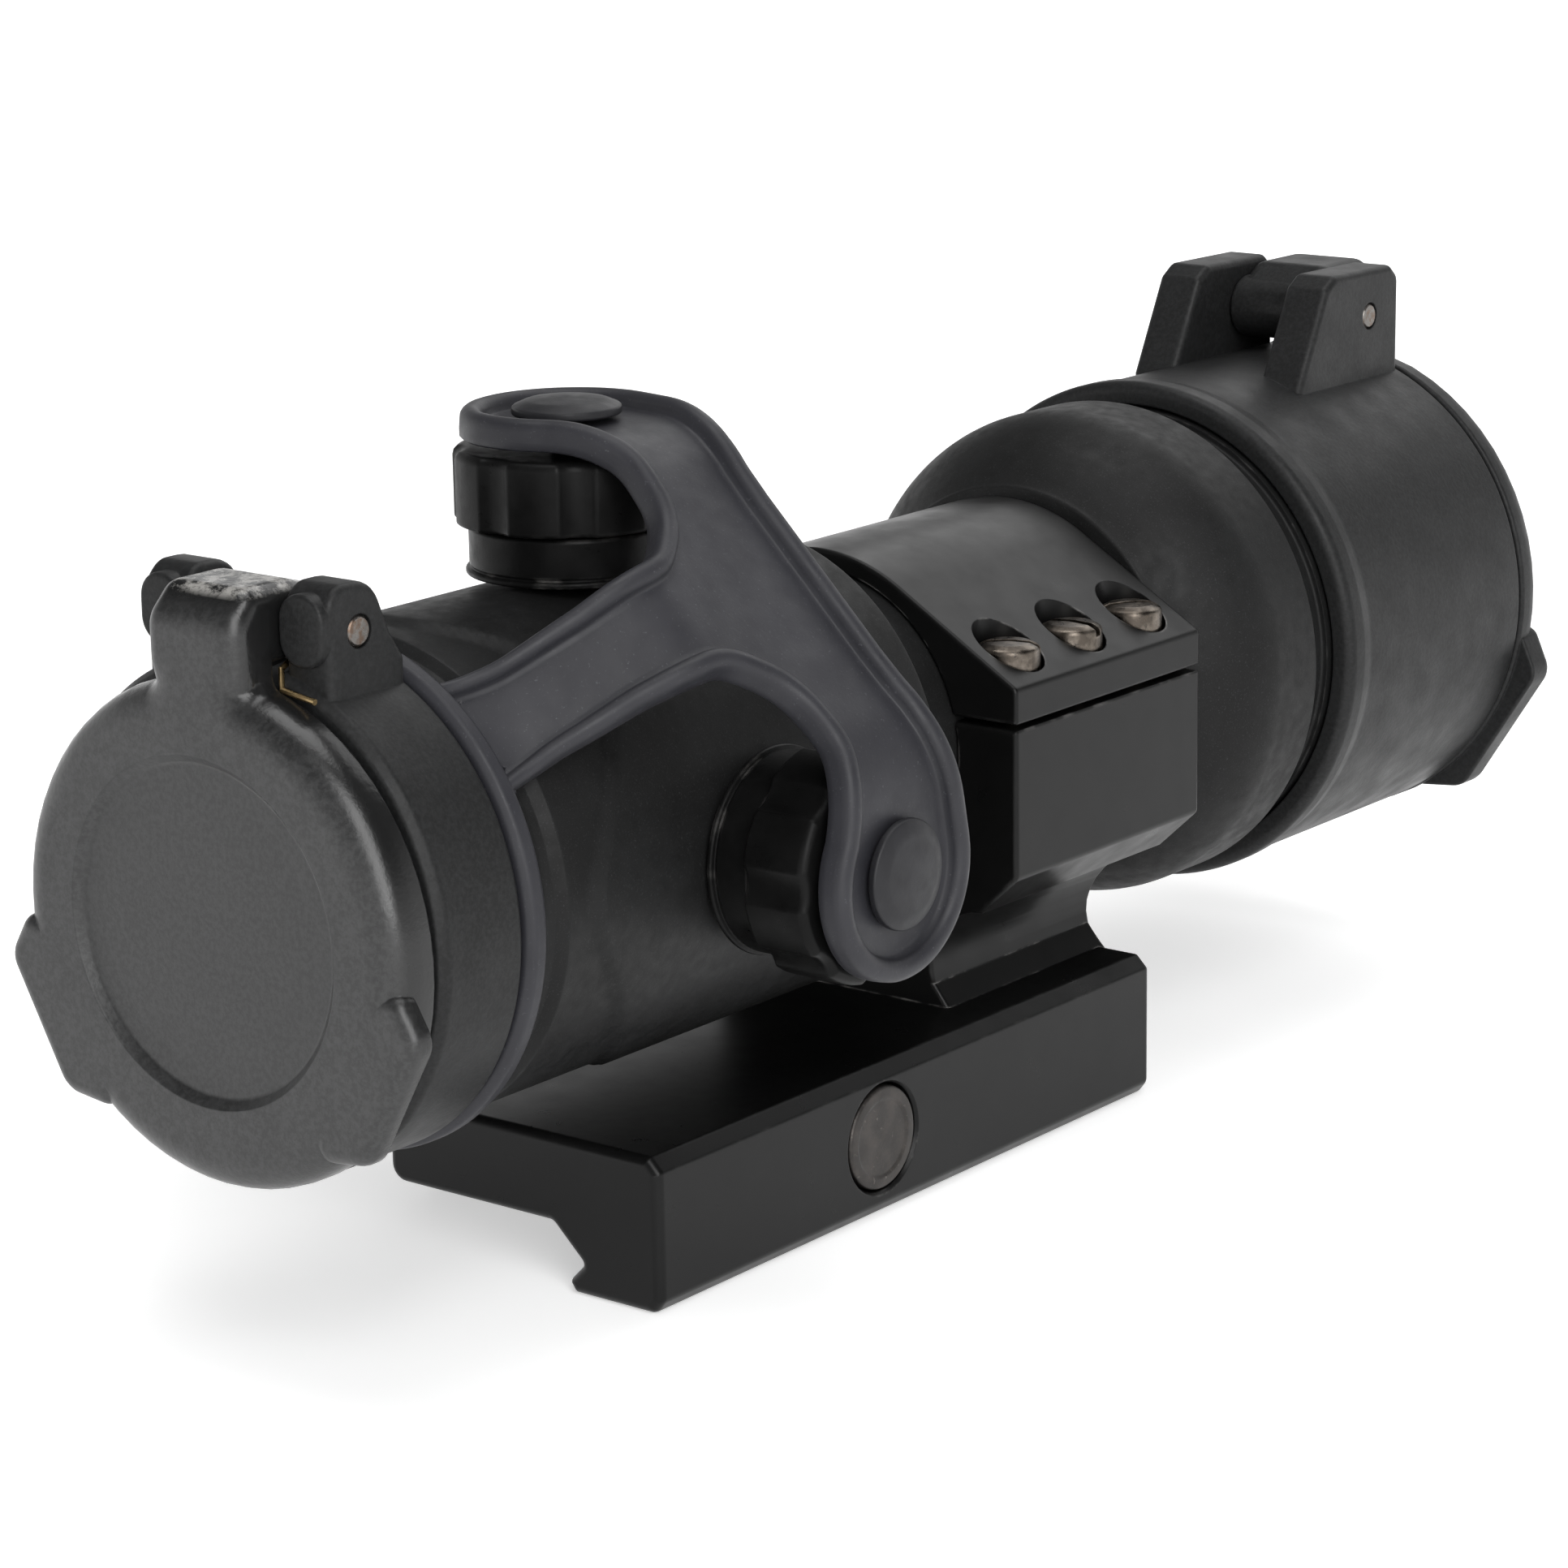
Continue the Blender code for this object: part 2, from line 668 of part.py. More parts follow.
def make_button(name, axis):
    screw_axis, centre = placed(axis)
    over = PAD_H + STRAP_HALF + 0.2
    profile = [
        (CAP_H - 2.2, 0),
        (CAP_H - 2.2, 3.0),
        (CAP_H - 1.9 - GAP + 0.2, 3.0),
        (CAP_H - 1.9 - GAP + 0.2, 1.5),
        (over, 1.5),
        (over, BUTTON_R),
        (over + 0.5, BUTTON_R - 0.1),
        (over + 1.0, BUTTON_R - 1.4),
        (over + 1.2, 0),
    ]
    turned(name + "_button", RUBBER, profile, screw_axis, centre, steps=24)


def make_adjuster(name, axis):
    screw_axis, centre = placed(axis)
    profile = [
        (16.9, 0),
        (16.9, 2.8),
        (27.0, 2.8),
        (27.6, 2.3),
        (27.6, 0),
    ]
    screw = turned(name + "_screw", STEEL, profile, screw_axis, centre, steps=16)
    if axis == "Z":
        low = (-3.5, TURRET_Y - 0.5, on_axis(26.8))
        high = (3.5, TURRET_Y + 0.5, on_axis(29))
    else:
        low = (26.8, TURRET_Y - 0.5, AXIS_Z - 3.5)
        high = (29, TURRET_Y + 0.5, AXIS_Z + 3.5)
    boolean(screw, block(name + "_screw_slot", None, low, high, cutter=True))
    tip = [(CARRIER_R + GAP, 0), (CARRIER_R + GAP, 1.6), (14.7, 1.6), (14.7, 0)]
    turned(name + "_plunger", STEEL, tip, screw_axis, centre, steps=16)


def make_switch():
    """The rotary switch on the left, with the cell inside its hollow stem."""
    centre = (0, TURRET_Y, AXIS_Z)
    stem = [
        (-SEAT_H - GAP, 6.2),
        (-SEAT_H - GAP, COLLAR_R + 0.4),
        (-COLLAR_H + 0.6, COLLAR_R + 0.4),
        (-COLLAR_H + 0.6, 7.4),
        (-33.6, 7.4),
        (-33.6, 6.2),
    ]
    turned("switch_stem", ANODISED, stem, "X", centre, steps=28)
    outline = []
    ribs = 20
    outer = 10.6
    for k in range(ribs * 2):
        angle = math.pi * k / ribs
        reach = outer if k % 2 else outer - 0.7
        outline.append((TURRET_Y + reach * math.cos(angle), AXIS_Z + reach * math.sin(angle)))
    drum = plate("brightness_switch", ANODISED, outline, -33.4, -COLLAR_H, "X")
    bore = rod("switch_bore", None, 7.7, -40, -20, "X", centre, steps=28, cutter=True)
    boolean(drum, bore)
    pivot(baked(drum), (-COLLAR_H, TURRET_Y, AXIS_Z))
    cap = turned("battery_cap", ANODISED, [
        (-38.0, 0), (-38.0, 8.0), (-37.3, 8.8), (-34.8, 8.8), (-34.8, 5.9), (-32.2, 5.9),
        (-32.2, 0),
    ], "X", centre, steps=28)
    slot = block("coin_slot", None, (-40, TURRET_Y - 6.2, AXIS_Z - 0.8),
                 (-36.8, TURRET_Y + 6.2, AXIS_Z + 0.8), cutter=True)
    boolean(cap, slot)
    pivot(baked(cap), (-34.8, TURRET_Y, AXIS_Z))
    turned("battery_cap_seal", RUBBER, [
        (-34.5, 6.3), (-34.5, 7.3), (-33.9, 7.3), (-33.9, 6.3),
    ], "X", centre, steps=24)
    turned("battery", CELL, [
        (-31.9, 0), (-31.9, 2.6), (-31.4, 2.6), (-31.4, 5.6), (-31.1, 5.8), (-21.4, 5.8),
        (-21.1, 5.6), (-21.1, 0),
    ], "X", centre, steps=28)
    turns = 2.5
    count = 25
    points = []
    for k in range(count + 1):
        share = k / count
        angle = 2 * math.pi * turns * share
        reach = 4.6 - 1.8 * share
        points.append((-20.6 + 2.4 * share, TURRET_Y + reach * math.cos(angle),
                       AXIS_Z + reach * math.sin(angle)))
    wire("battery_spring", BRASS, points, 0.3)


# ---------------------------------------------------------------- flip covers


def lid_outline(radius, tab):
    """A disc with two finger tabs low on its sides, as (X, height over the tube axis)."""
    start, end = TAB_START, TAB_END
    right = arc((0, 0), radius, 90, -start + 6, 14)
    right += [(tab * math.cos(math.radians(a)), -tab * math.sin(math.radians(a)))
              for a in (start + 3, (start + end) / 2, end - 3)]
    right += arc((0, 0), radius, -end - 6, -90, 6)
    left = [(-x, z) for x, z in reversed(right[1:-1])]
    return [(x, on_axis(z)) for x, z in right + left]


def knuckle_outline(place, radius, forward, face, root_z, inner_face):
    """The lid's neck, seen from the side: up from the disc, and over the pin."""
    y, z = place
    top = arc((y, on_axis(z)), radius, 90, 90 - forward * 180, 9)
    outer = face + forward * 0.4
    return [
        (outer, on_axis(root_z)),
        (outer, on_axis(z - 0.8)),
        (outer + forward * 1.2, on_axis(z + radius - 1.0)),
        (outer + forward * 3.0, on_axis(z + radius)),
    ] + top + [
        (inner_face, on_axis(z - radius)),
        (inner_face, on_axis(root_z)),
    ]


def make_lid(name, radius, tab, face, inner_face, place, lens_r, recess_r):
    forward = 1 if inner_face > face else -1
    low, high = sorted((face, inner_face))
    lid = plate(name, PLASTIC, lid_outline(radius, tab), low, high, "Y")
    neck = plate(name + "_neck", None,
                 knuckle_outline(place, 3.1, forward, face, radius - 6, inner_face),
                 -NECK_X, NECK_X, "X", cutter=True)
    boolean(lid, neck, "UNION")
    hollow_low, hollow_high = sorted((inner_face + forward * 3, face + forward * 2.0))
    hollow = rod(name + "_hollow", None, lens_r, hollow_low, hollow_high, "Y", (0, 0, AXIS_Z),
                 steps=36, cutter=True)
    boolean(lid, hollow)
    recess_low, recess_high = sorted((face - forward * 2, face + forward * 0.6))
    recess = rod(name + "_recess", None, recess_r, recess_low, recess_high, "Y",
                 (0, 0, AXIS_Z), steps=36, cutter=True)
    boolean(lid, recess)
    pin_hole = rod(name + "_pin_hole", None, PIN_R + GAP, -20, 20, "X",
                   (0, place[0], on_axis(place[1])), steps=12, cutter=True)
    boolean(lid, pin_hole)
    spring_room = block(name + "_spring_room", None,
                        (1.4, place[0] - 5.2, on_axis(place[1] - 4.6)),
                        (NECK_X + 2, place[0] + 5.2, on_axis(place[1] + 2.3)), cutter=True)
    boolean(lid, spring_room)
    pivot(baked(lid), (0, place[0], on_axis(place[1])))


def ear_outline(place, forward, edge, base_z, slope_y):
    """A hinge ear from the side: square to the lid, round over the pin, sloped behind."""
    y, z = place
    radius = 4.4
    crown = arc((y, on_axis(z)), radius, 90 + forward * 50, 90 - forward * 60, 6)
    return [(edge, on_axis(base_z)), (edge, on_axis(z + 2.6))] + crown + [
        (slope_y, on_axis(base_z)),
    ]


def make_sleeve(name, radius, inner_r, low, high, place, edge, slope_y, lip):
    """A collar with two hinge ears, and a hollow between them for the knuckle."""
    profile = [
        (low, inner_r),
        (low, radius - 0.4),
        (low + 0.4, radius),
        (high - 0.4, radius),
        (high, radius - 0.4),
        (high, inner_r),
    ]
    if lip:
        profile[1:3] = [(low, radius - 0.3), (low + 0.7, radius + 0.3), (low + 2.0, radius)]
    sleeve = turned(name, PLASTIC, profile, steps=44)
    forward = 1 if edge < place[0] else -1
    for side in (-1, 1):
        ends = sorted((side * EAR_IN, side * EAR_OUT))
        ear = plate(name + "_ear", None, ear_outline(place, forward, edge, radius - 4.5, slope_y),
                    ends[0], ends[1], "X", cutter=True)
        boolean(sleeve, ear, "UNION")
    bore = rod(name + "_bore", None, inner_r, low - 5, high + 5, "Y", (0, 0, AXIS_Z),
               steps=44, cutter=True)
    boolean(sleeve, bore)
    room = rod(name + "_knuckle_room", None, 3.5, -EAR_IN, EAR_IN, "X",
               (0, place[0], on_axis(place[1])), steps=20, cutter=True)
    boolean(sleeve, room)
    near, far = sorted((edge - forward, place[0]))
    neck_room = block(name + "_neck_room", None, (-EAR_IN, near, on_axis(place[1] - 3.5)),
                      (EAR_IN, far, on_axis(place[1] + 9)), cutter=True)
    boolean(sleeve, neck_room)
    pin_hole = rod(name + "_pin_hole", None, PIN_R + GAP, -20, 20, "X",
                   (0, place[0], on_axis(place[1])), steps=12, cutter=True)
    boolean(sleeve, pin_hole)


def make_pin_and_spring(name, place):
    y, z = place[0], on_axis(place[1])
    rod(name + "_pin", STEEL, PIN_R, -EAR_OUT, EAR_OUT, "X", (0, y, z), steps=12)
    turns = 3
    per_turn = 10
    count = turns * per_turn
    reach = 1.75
    points = []
    for k in range(count + 1):
        angle = 2 * math.pi * k / per_turn
        points.append((1.9 + 2.5 * k / count, y + reach * math.cos(angle),
                       z + reach * math.sin(angle)))
    wire(name + "_spring", BRASS, points, 0.25)


# ---------------------------------------------------------------- strap


def strap_path(along):
    """The strap's section over the caps: flat, a straight diagonal, flat."""
    diagonal = (PAD_H - FLAT) * math.sqrt(2)
    if along < FLAT:
        return along, PAD_H
    if along < FLAT + diagonal:
        share = (along - FLAT) / diagonal
        return FLAT + (PAD_H - FLAT) * share, PAD_H - (PAD_H - FLAT) * share
    return PAD_H, FLAT - (along - FLAT - diagonal)


def strap_surface(along, y):
    """A point of the strap's middle surface: it drops from the caps to the ocular ring."""
    samples = [strap_path(along + step) for step in (-3, -1.5, 0, 1.5, 3)]
    x = sum(s[0] for s in samples) / len(samples)
    z = sum(s[1] for s in samples) / len(samples)
    share = min(max((y - STRAP_Y + 0.2) / 18.5, 0), 1)
    share = share * share * (3 - 2 * share)
    scale = share + (1 - share) * (OCULAR_R + 1.5) / math.hypot(x, z)
    return Vector((x * scale, y, on_axis(z * scale)))


STRAP_MIDDLE = FLAT + (PAD_H - FLAT) / math.sqrt(2)


def strap_outline():
    """The flat shape: a stem from the ring, and an arm with a round pad to each cap."""
    reach = STRAP_MIDDLE
    pad = arc((reach, TURRET_Y), PAD_R, 146, -132, 14)
    inner = arc((13.0, -33.6), 5.0, 75, 165, 5)
    stem = [(6.2, -38.0), (7.2, -44.0), (8.2, STRAP_Y)]
    right = [(4.0, -16.6), (13.5, -17.0)] + pad + inner + stem
    left = [(-along, y) for along, y in reversed(right)]
    return [(STRAP_MIDDLE + along, y) for along, y in right + left]


def slice_flat(form, place, axis):
    """Adds a row of edges across the flat shape, so that it can bend there."""
    where = [0, 0, 0]
    where[axis] = place * MM
    facing = [0, 0, 0]
    facing[axis] = 1
    everything = form.verts[:] + form.edges[:] + form.faces[:]
    bmesh.ops.bisect_plane(form, geom=everything, plane_co=where, plane_no=facing, dist=1e-7)


def make_strap():
    sheet = plate("cap_strap", RUBBER, strap_outline(), -STRAP_HALF, STRAP_HALF, "Z")
    for along in (0, 2 * STRAP_MIDDLE):
        hole = rod("stud_hole", None, 1.9, -9, 9, "Z", (along, TURRET_Y, 0), steps=12,
                   cutter=True)
        boolean(sheet, hole)
    baked(sheet)
    form = bmesh.new()
    form.from_mesh(sheet.data)
    for bend in (6, 7.5, 9, 10.5, 12, 19.5, 23):
        for along in (bend, 2 * STRAP_MIDDLE - bend):
            slice_flat(form, along, 0)
    for drop in range(7):
        slice_flat(form, -33.5 - 2.6 * drop, 1)
    step = 0.05
    for vert in form.verts:
        along, y, depth = [value / MM for value in vert.co]
        here = strap_surface(along, y)
        across = strap_surface(along + step, y) - here
        down = strap_surface(along, y + step) - here
        out = across.cross(down).normalized()
        vert.co = (here + out * depth) * MM
    bmesh.ops.triangulate(form, faces=form.faces)
    bmesh.ops.recalc_face_normals(form, faces=form.faces)
    form.to_mesh(sheet.data)
    band = turned("strap_band", None, [
        (STRAP_Y - 1.1, OCULAR_R + GAP), (STRAP_Y - 1.1, OCULAR_R + 1.5),
        (STRAP_Y - 0.5, OCULAR_R + 1.9), (STRAP_Y + 0.5, OCULAR_R + 1.9),
        (STRAP_Y + 1.1, OCULAR_R + 1.5), (STRAP_Y + 1.1, OCULAR_R + GAP),
    ], steps=40, cutter=True)
    boolean(sheet, band, "UNION")


# ---------------------------------------------------------------- assembly

make_base()
make_ring_top()
make_ring_screws()
make_clamp()
make_housing()
make_bell()
make_glass()
make_carrier()
make_tube_spring()
for turret, turret_axis in (("elevation", "Z"), ("windage", "X")):
    make_collar(turret, turret_axis)
    make_cap(turret, turret_axis)
    make_button(turret, turret_axis)
    make_adjuster(turret, turret_axis)
make_switch()
make_sleeve("rear_cover_sleeve", REAR_R, 18.8, -62.0, -52.9, REAR_PIVOT, -62.0, -53.6, False)
make_lid("rear_cover_lid", REAR_R + 0.1, REAR_R + 2.6, COVER_REAR, -62.3, REAR_PIVOT, 18.6, 13.9)
make_pin_and_spring("rear_cover", REAR_PIVOT)
make_sleeve("front_cover_sleeve", FRONT_R, 22.4, 62.0, 94.9, FRONT_PIVOT, 94.9, 77.0, True)
make_lid("front_cover_lid", FRONT_R + 0.1, FRONT_R + 2.6, COVER_FRONT, 95.2, FRONT_PIVOT, 21.5,
         15.5)
make_pin_and_spring("front_cover", FRONT_PIVOT)
make_strap()
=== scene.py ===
import json
import math

import bmesh
import bpy
from mathutils import Matrix, Vector
from mathutils.geometry import delaunay_2d_cdt


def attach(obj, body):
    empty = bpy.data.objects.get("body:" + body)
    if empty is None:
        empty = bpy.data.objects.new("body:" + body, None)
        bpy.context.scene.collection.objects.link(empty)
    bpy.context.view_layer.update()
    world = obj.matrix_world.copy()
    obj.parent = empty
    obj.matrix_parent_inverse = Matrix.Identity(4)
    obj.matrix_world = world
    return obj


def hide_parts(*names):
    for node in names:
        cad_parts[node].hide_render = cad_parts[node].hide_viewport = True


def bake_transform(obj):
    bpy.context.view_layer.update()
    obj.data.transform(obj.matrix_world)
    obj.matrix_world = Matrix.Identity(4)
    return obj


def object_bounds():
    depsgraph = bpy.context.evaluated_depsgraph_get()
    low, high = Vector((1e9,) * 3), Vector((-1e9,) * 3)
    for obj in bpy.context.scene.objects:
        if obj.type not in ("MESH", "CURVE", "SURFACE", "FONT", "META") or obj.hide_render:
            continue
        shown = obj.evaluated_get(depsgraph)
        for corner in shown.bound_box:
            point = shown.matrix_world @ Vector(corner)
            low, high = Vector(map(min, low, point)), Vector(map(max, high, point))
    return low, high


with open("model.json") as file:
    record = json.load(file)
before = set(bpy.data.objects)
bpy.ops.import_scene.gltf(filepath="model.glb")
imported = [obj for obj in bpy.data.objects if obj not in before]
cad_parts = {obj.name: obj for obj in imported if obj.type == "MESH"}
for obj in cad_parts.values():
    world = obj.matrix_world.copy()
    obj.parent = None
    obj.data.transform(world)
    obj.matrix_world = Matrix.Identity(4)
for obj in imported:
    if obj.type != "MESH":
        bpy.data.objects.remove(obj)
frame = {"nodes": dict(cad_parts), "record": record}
cad_box = [list(corner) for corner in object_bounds()]

# Lengths are in millimetres and angles in degrees. Y runs along the tube and Z is up. A corner
# is (a, b, rounding). Turned profiles are (along the axis, radius, rounding) from that axis.
MM = 0.001
AXIS_Z = 30.9  # the tube's axis, over the rail's seat
AXIS = (0, 0, AXIS_Z)
TURRET_Y = -22.1
TURRET = (0, TURRET_Y, AXIS_Z)  # where the axes of the adjusters and the tube meet
BOLT = (0, -5.5, 1.2)

BASE_HALF_LENGTH = 35.8
RING_YS = (11.3, 40.4)
RING_X = 21.5
RING_BORE_R = 15.3
SCREWS = [(x, y) for x in (17.2, -17.2) for y in (16.2, 25.8, 35.4)]
SHANK_R = 1.6

SHELL_R = 20.1  # ocular body and adjuster housing
TUBE_R = 15.0
BELL_R = 23.4

# The covers' hinges, as (Y, height over the tube's axis).
REAR_PIVOT = (-58.0, 23.4)
FRONT_PIVOT = (89.0, 28.4)
KNUCKLE_R = 3.1
KNUCKLE_HALF = 4.85
KNUCKLE_ROOM_R = 3.95


# ---------------------------------------------------------------- shapes


def fillet(corners, closed=True, step=12):
    """The outline, with each corner rounded into short straight runs of about step degrees."""
    points = []
    last = len(corners) - 1
    for k, (a, b, radius) in enumerate(corners):
        here = Vector((a, b))
        if radius <= 0 or (not closed and k in (0, last)):
            points.append(here)
            continue
        before = Vector(corners[k - 1][:2]) - here
        after = Vector(corners[(k + 1) % (last + 1)][:2]) - here
        angle = before.angle(after)
        if angle > math.pi - 0.03:
            points.append(here)
            continue
        reach = min(radius / math.tan(angle / 2), 0.49 * min(before.length, after.length))
        radius = reach * math.tan(angle / 2)
        start = here + before.normalized() * reach
        middle = (before.normalized() + after.normalized()).normalized()
        centre = here + middle * radius / math.sin(angle / 2)
        turn = math.pi - angle
        side = 1 if before.cross(after) < 0 else -1
        # A little less than the quotient, so that every layer of a slab gets the same count.
        steps = max(2, math.ceil(math.degrees(turn) / step - 0.05))
        for j in range(steps + 1):
            turned = Matrix.Rotation(side * turn * j / steps, 2) @ (start - centre)
            points.append(centre + turned)
    return points


def polar(radius, angle, centre=(0, 0)):
    return centre[0] + radius * math.cos(angle), centre[1] + radius * math.sin(angle)


def arc(centre, radius, start, end, count):
    """Corners with no rounding, to go between rounded ones."""
    angles = [math.radians(start + (end - start) * k / count) for k in range(count + 1)]
    return [(*polar(radius, angle, centre), 0) for angle in angles]


def up(corners):
    """Lifts a profile from the tube axis to its height over the rail."""
    return [(c[0], c[1] + AXIS_Z, c[2]) for c in corners]


def ease(share):
    """Runs softly from 0 to 1, and stays there outside."""
    share = min(max(share, 0), 1)
    return share * share * (3 - 2 * share)


def new_object(name, data):
    made = bpy.data.objects.new(name, data)
    bpy.context.scene.collection.objects.link(made)
    return made


def to_object(name, form):
    bmesh.ops.remove_doubles(form, verts=form.verts, dist=1e-7)
    bmesh.ops.recalc_face_normals(form, faces=form.faces)
    mesh = bpy.data.meshes.new(name)
    form.to_mesh(mesh)
    form.free()
    return new_object(name, mesh)


def skin(form, rows, closed):
    """Faces between neighbouring rows of points. A row of one point is a tip."""
    pairs = list(zip(rows, rows[1:]))
    if closed:
        pairs.append((rows[-1], rows[0]))
    for low, high in pairs:
        count = max(len(low), len(high))
        for k in range(count):
            quad = [low[k % len(low)], low[(k + 1) % len(low)],
                    high[(k + 1) % len(high)], high[k % len(high)]]
            quad = list(dict.fromkeys(quad))
            if len(quad) > 2:
                form.faces.new(quad)


ALONG = {
    "X": lambda a, b, c: (c, a, b),
    "Y": lambda a, b, c: (a, c, b),
    "Z": lambda a, b, c: (a, b, c),
}


def lathe(name, corners, axis="Y", centre=AXIS, steps=128):
    """A turned solid."""
    closed = all(radius > 0 for _, radius, _ in corners)
    form = bmesh.new()
    rows = []
    for along, radius in fillet(corners, closed):
        count = 1 if radius < 1e-6 else steps
        row = []
        for k in range(count):
            spot = ALONG[axis](*polar(radius, 2 * math.pi * k / count), along)
            row.append(form.verts.new([(a + b) * MM for a, b in zip(spot, centre)]))
        rows.append(row)
    skin(form, rows, closed)
    return to_object(name, form)


def mitre(points, depth):
    """A closed outline moved inwards. It runs anticlockwise."""
    moved = []
    for k, here in enumerate(points):
        run = (here - points[k - 1]).normalized()
        onward = (points[(k + 1) % len(points)] - here).normalized()
        tangent = run + onward
        tangent = tangent.normalized() if tangent.length > 1e-6 else onward
        inward = Vector((-tangent.y, tangent.x))
        moved.append(here + inward * depth / max(inward.dot(Vector((-run.y, run.x))), 0.3))
    return moved


def anticlockwise(corners):
    """The corners without repeats, in anticlockwise order."""
    kept = []
    for corner in corners:
        corner = (corner[0], corner[1], corner[2] if len(corner) > 2 else 0)
        if not kept or math.dist(corner[:2], kept[-1][:2]) > 1e-3:
            kept.append(corner)
    if math.dist(kept[0][:2], kept[-1][:2]) < 1e-3:
        kept.pop()
    area = sum(a[0] * b[1] - a[1] * b[0] for a, b in zip(kept, kept[1:] + kept[:1]))
    return kept if area > 0 else kept[::-1]


def layer(corners, depth, step):
    """The outline moved inwards, with the same number of points at any depth."""
    points = [Vector(c[:2]) for c in corners]
    moved = mitre(points, depth)
    tighter = []
    for k, (spot, corner) in enumerate(zip(moved, corners)):
        run = points[k] - points[k - 1]
        onward = points[(k + 1) % len(points)] - points[k]
        change = depth if run.cross(onward) > 0 else -depth
        radius = max(corner[2] - change, 0.03) if corner[2] > 0 else 0
        tighter.append((spot.x, spot.y, radius))
    return fillet(tighter, step=step)


def slab(name, corners, low, high, axis, round_low=0.3, round_high=0.3, steps=3, step=12):
    """A flat outline with thickness, and its two rims rounded."""
    corners = anticlockwise(corners)

    def rim(rounding, height, way):
        """Layers from the flat face to the flank, as (inset, height)."""
        turns = [math.pi / 2 * k / steps for k in range(steps + 1 if rounding else 1)]
        return [(rounding * (1 - math.sin(turn)), height + way * rounding * (1 - math.cos(turn)))
                for turn in turns]

    form = bmesh.new()
    rows = []
    for depth, height in rim(round_low, low, 1) + rim(round_high, high, -1)[::-1]:
        row = layer(corners, depth, step)
        rows.append([form.verts.new([v * MM for v in ALONG[axis](p.x, p.y, height)])
                     for p in row])
    skin(form, rows, False)
    form.faces.new(rows[0])
    form.faces.new(rows[-1])
    return to_object(name, form)


def carve(made, *others, operation="DIFFERENCE"):
    """Cuts the others out of a solid, or joins them to it."""
    for other in others:
        step = made.modifiers.new("carve", "BOOLEAN")
        step.operation = operation
        step.object = other
        step.solver = "EXACT"
    graph = bpy.context.evaluated_depsgraph_get()
    mesh = bpy.data.meshes.new_from_object(made.evaluated_get(graph))
    made.modifiers.clear()
    made.data = mesh
    for other in others:
        bpy.data.objects.remove(other)
    return made


def fuse(made, *others):
    return carve(made, *others, operation="UNION")


def bar(name, radius, low, high, axis, centre, steps=48):
    """A round cutter."""
    return lathe(name, [(low, 0, 0), (low, radius, 0), (high, radius, 0), (high, 0, 0)],
                 axis, centre, steps)


def brick(name, low, high):
    """A square cutter."""
    corners = [(low[0], low[1]), (high[0], low[1]), (high[0], high[1]), (low[0], high[1])]
    return slab(name, corners, low[2], high[2], "Z", 0, 0)


def coil(name, points, radius, sides=10):
    """A round wire through points in millimetres."""
    form = bmesh.new()
    rows = []
    side = None
    for k, here in enumerate(points):
        run = (points[min(k + 1, len(points) - 1)] - points[max(k - 1, 0)]).normalized()
        side = (side - run * side.dot(run)) if side else run.orthogonal()
        side.normalize()
        other = run.cross(side)
        ring = [polar(radius, 2 * math.pi * j / sides) for j in range(sides)]
        rows.append([form.verts.new((here + side * a + other * b) * MM) for a, b in ring])
    skin(form, rows, False)
    form.faces.new(rows[0])
    form.faces.new(rows[-1])
    return to_object(name, form)


def place(made, look, body, slot, *nodes, sharp=32):
    """Smooths a piece, paints it, and gives it its place in the frame."""
    made.data.shade_smooth()
    made.data.set_sharp_from_angle(angle=math.radians(sharp))
    step = made.modifiers.new("normals", "WEIGHTED_NORMAL")
    step.keep_sharp = True
    made.data.materials.clear()
    made.data.materials.append(look)
    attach(made, body)
    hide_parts(*nodes)
    return made


# ---------------------------------------------------------------- materials


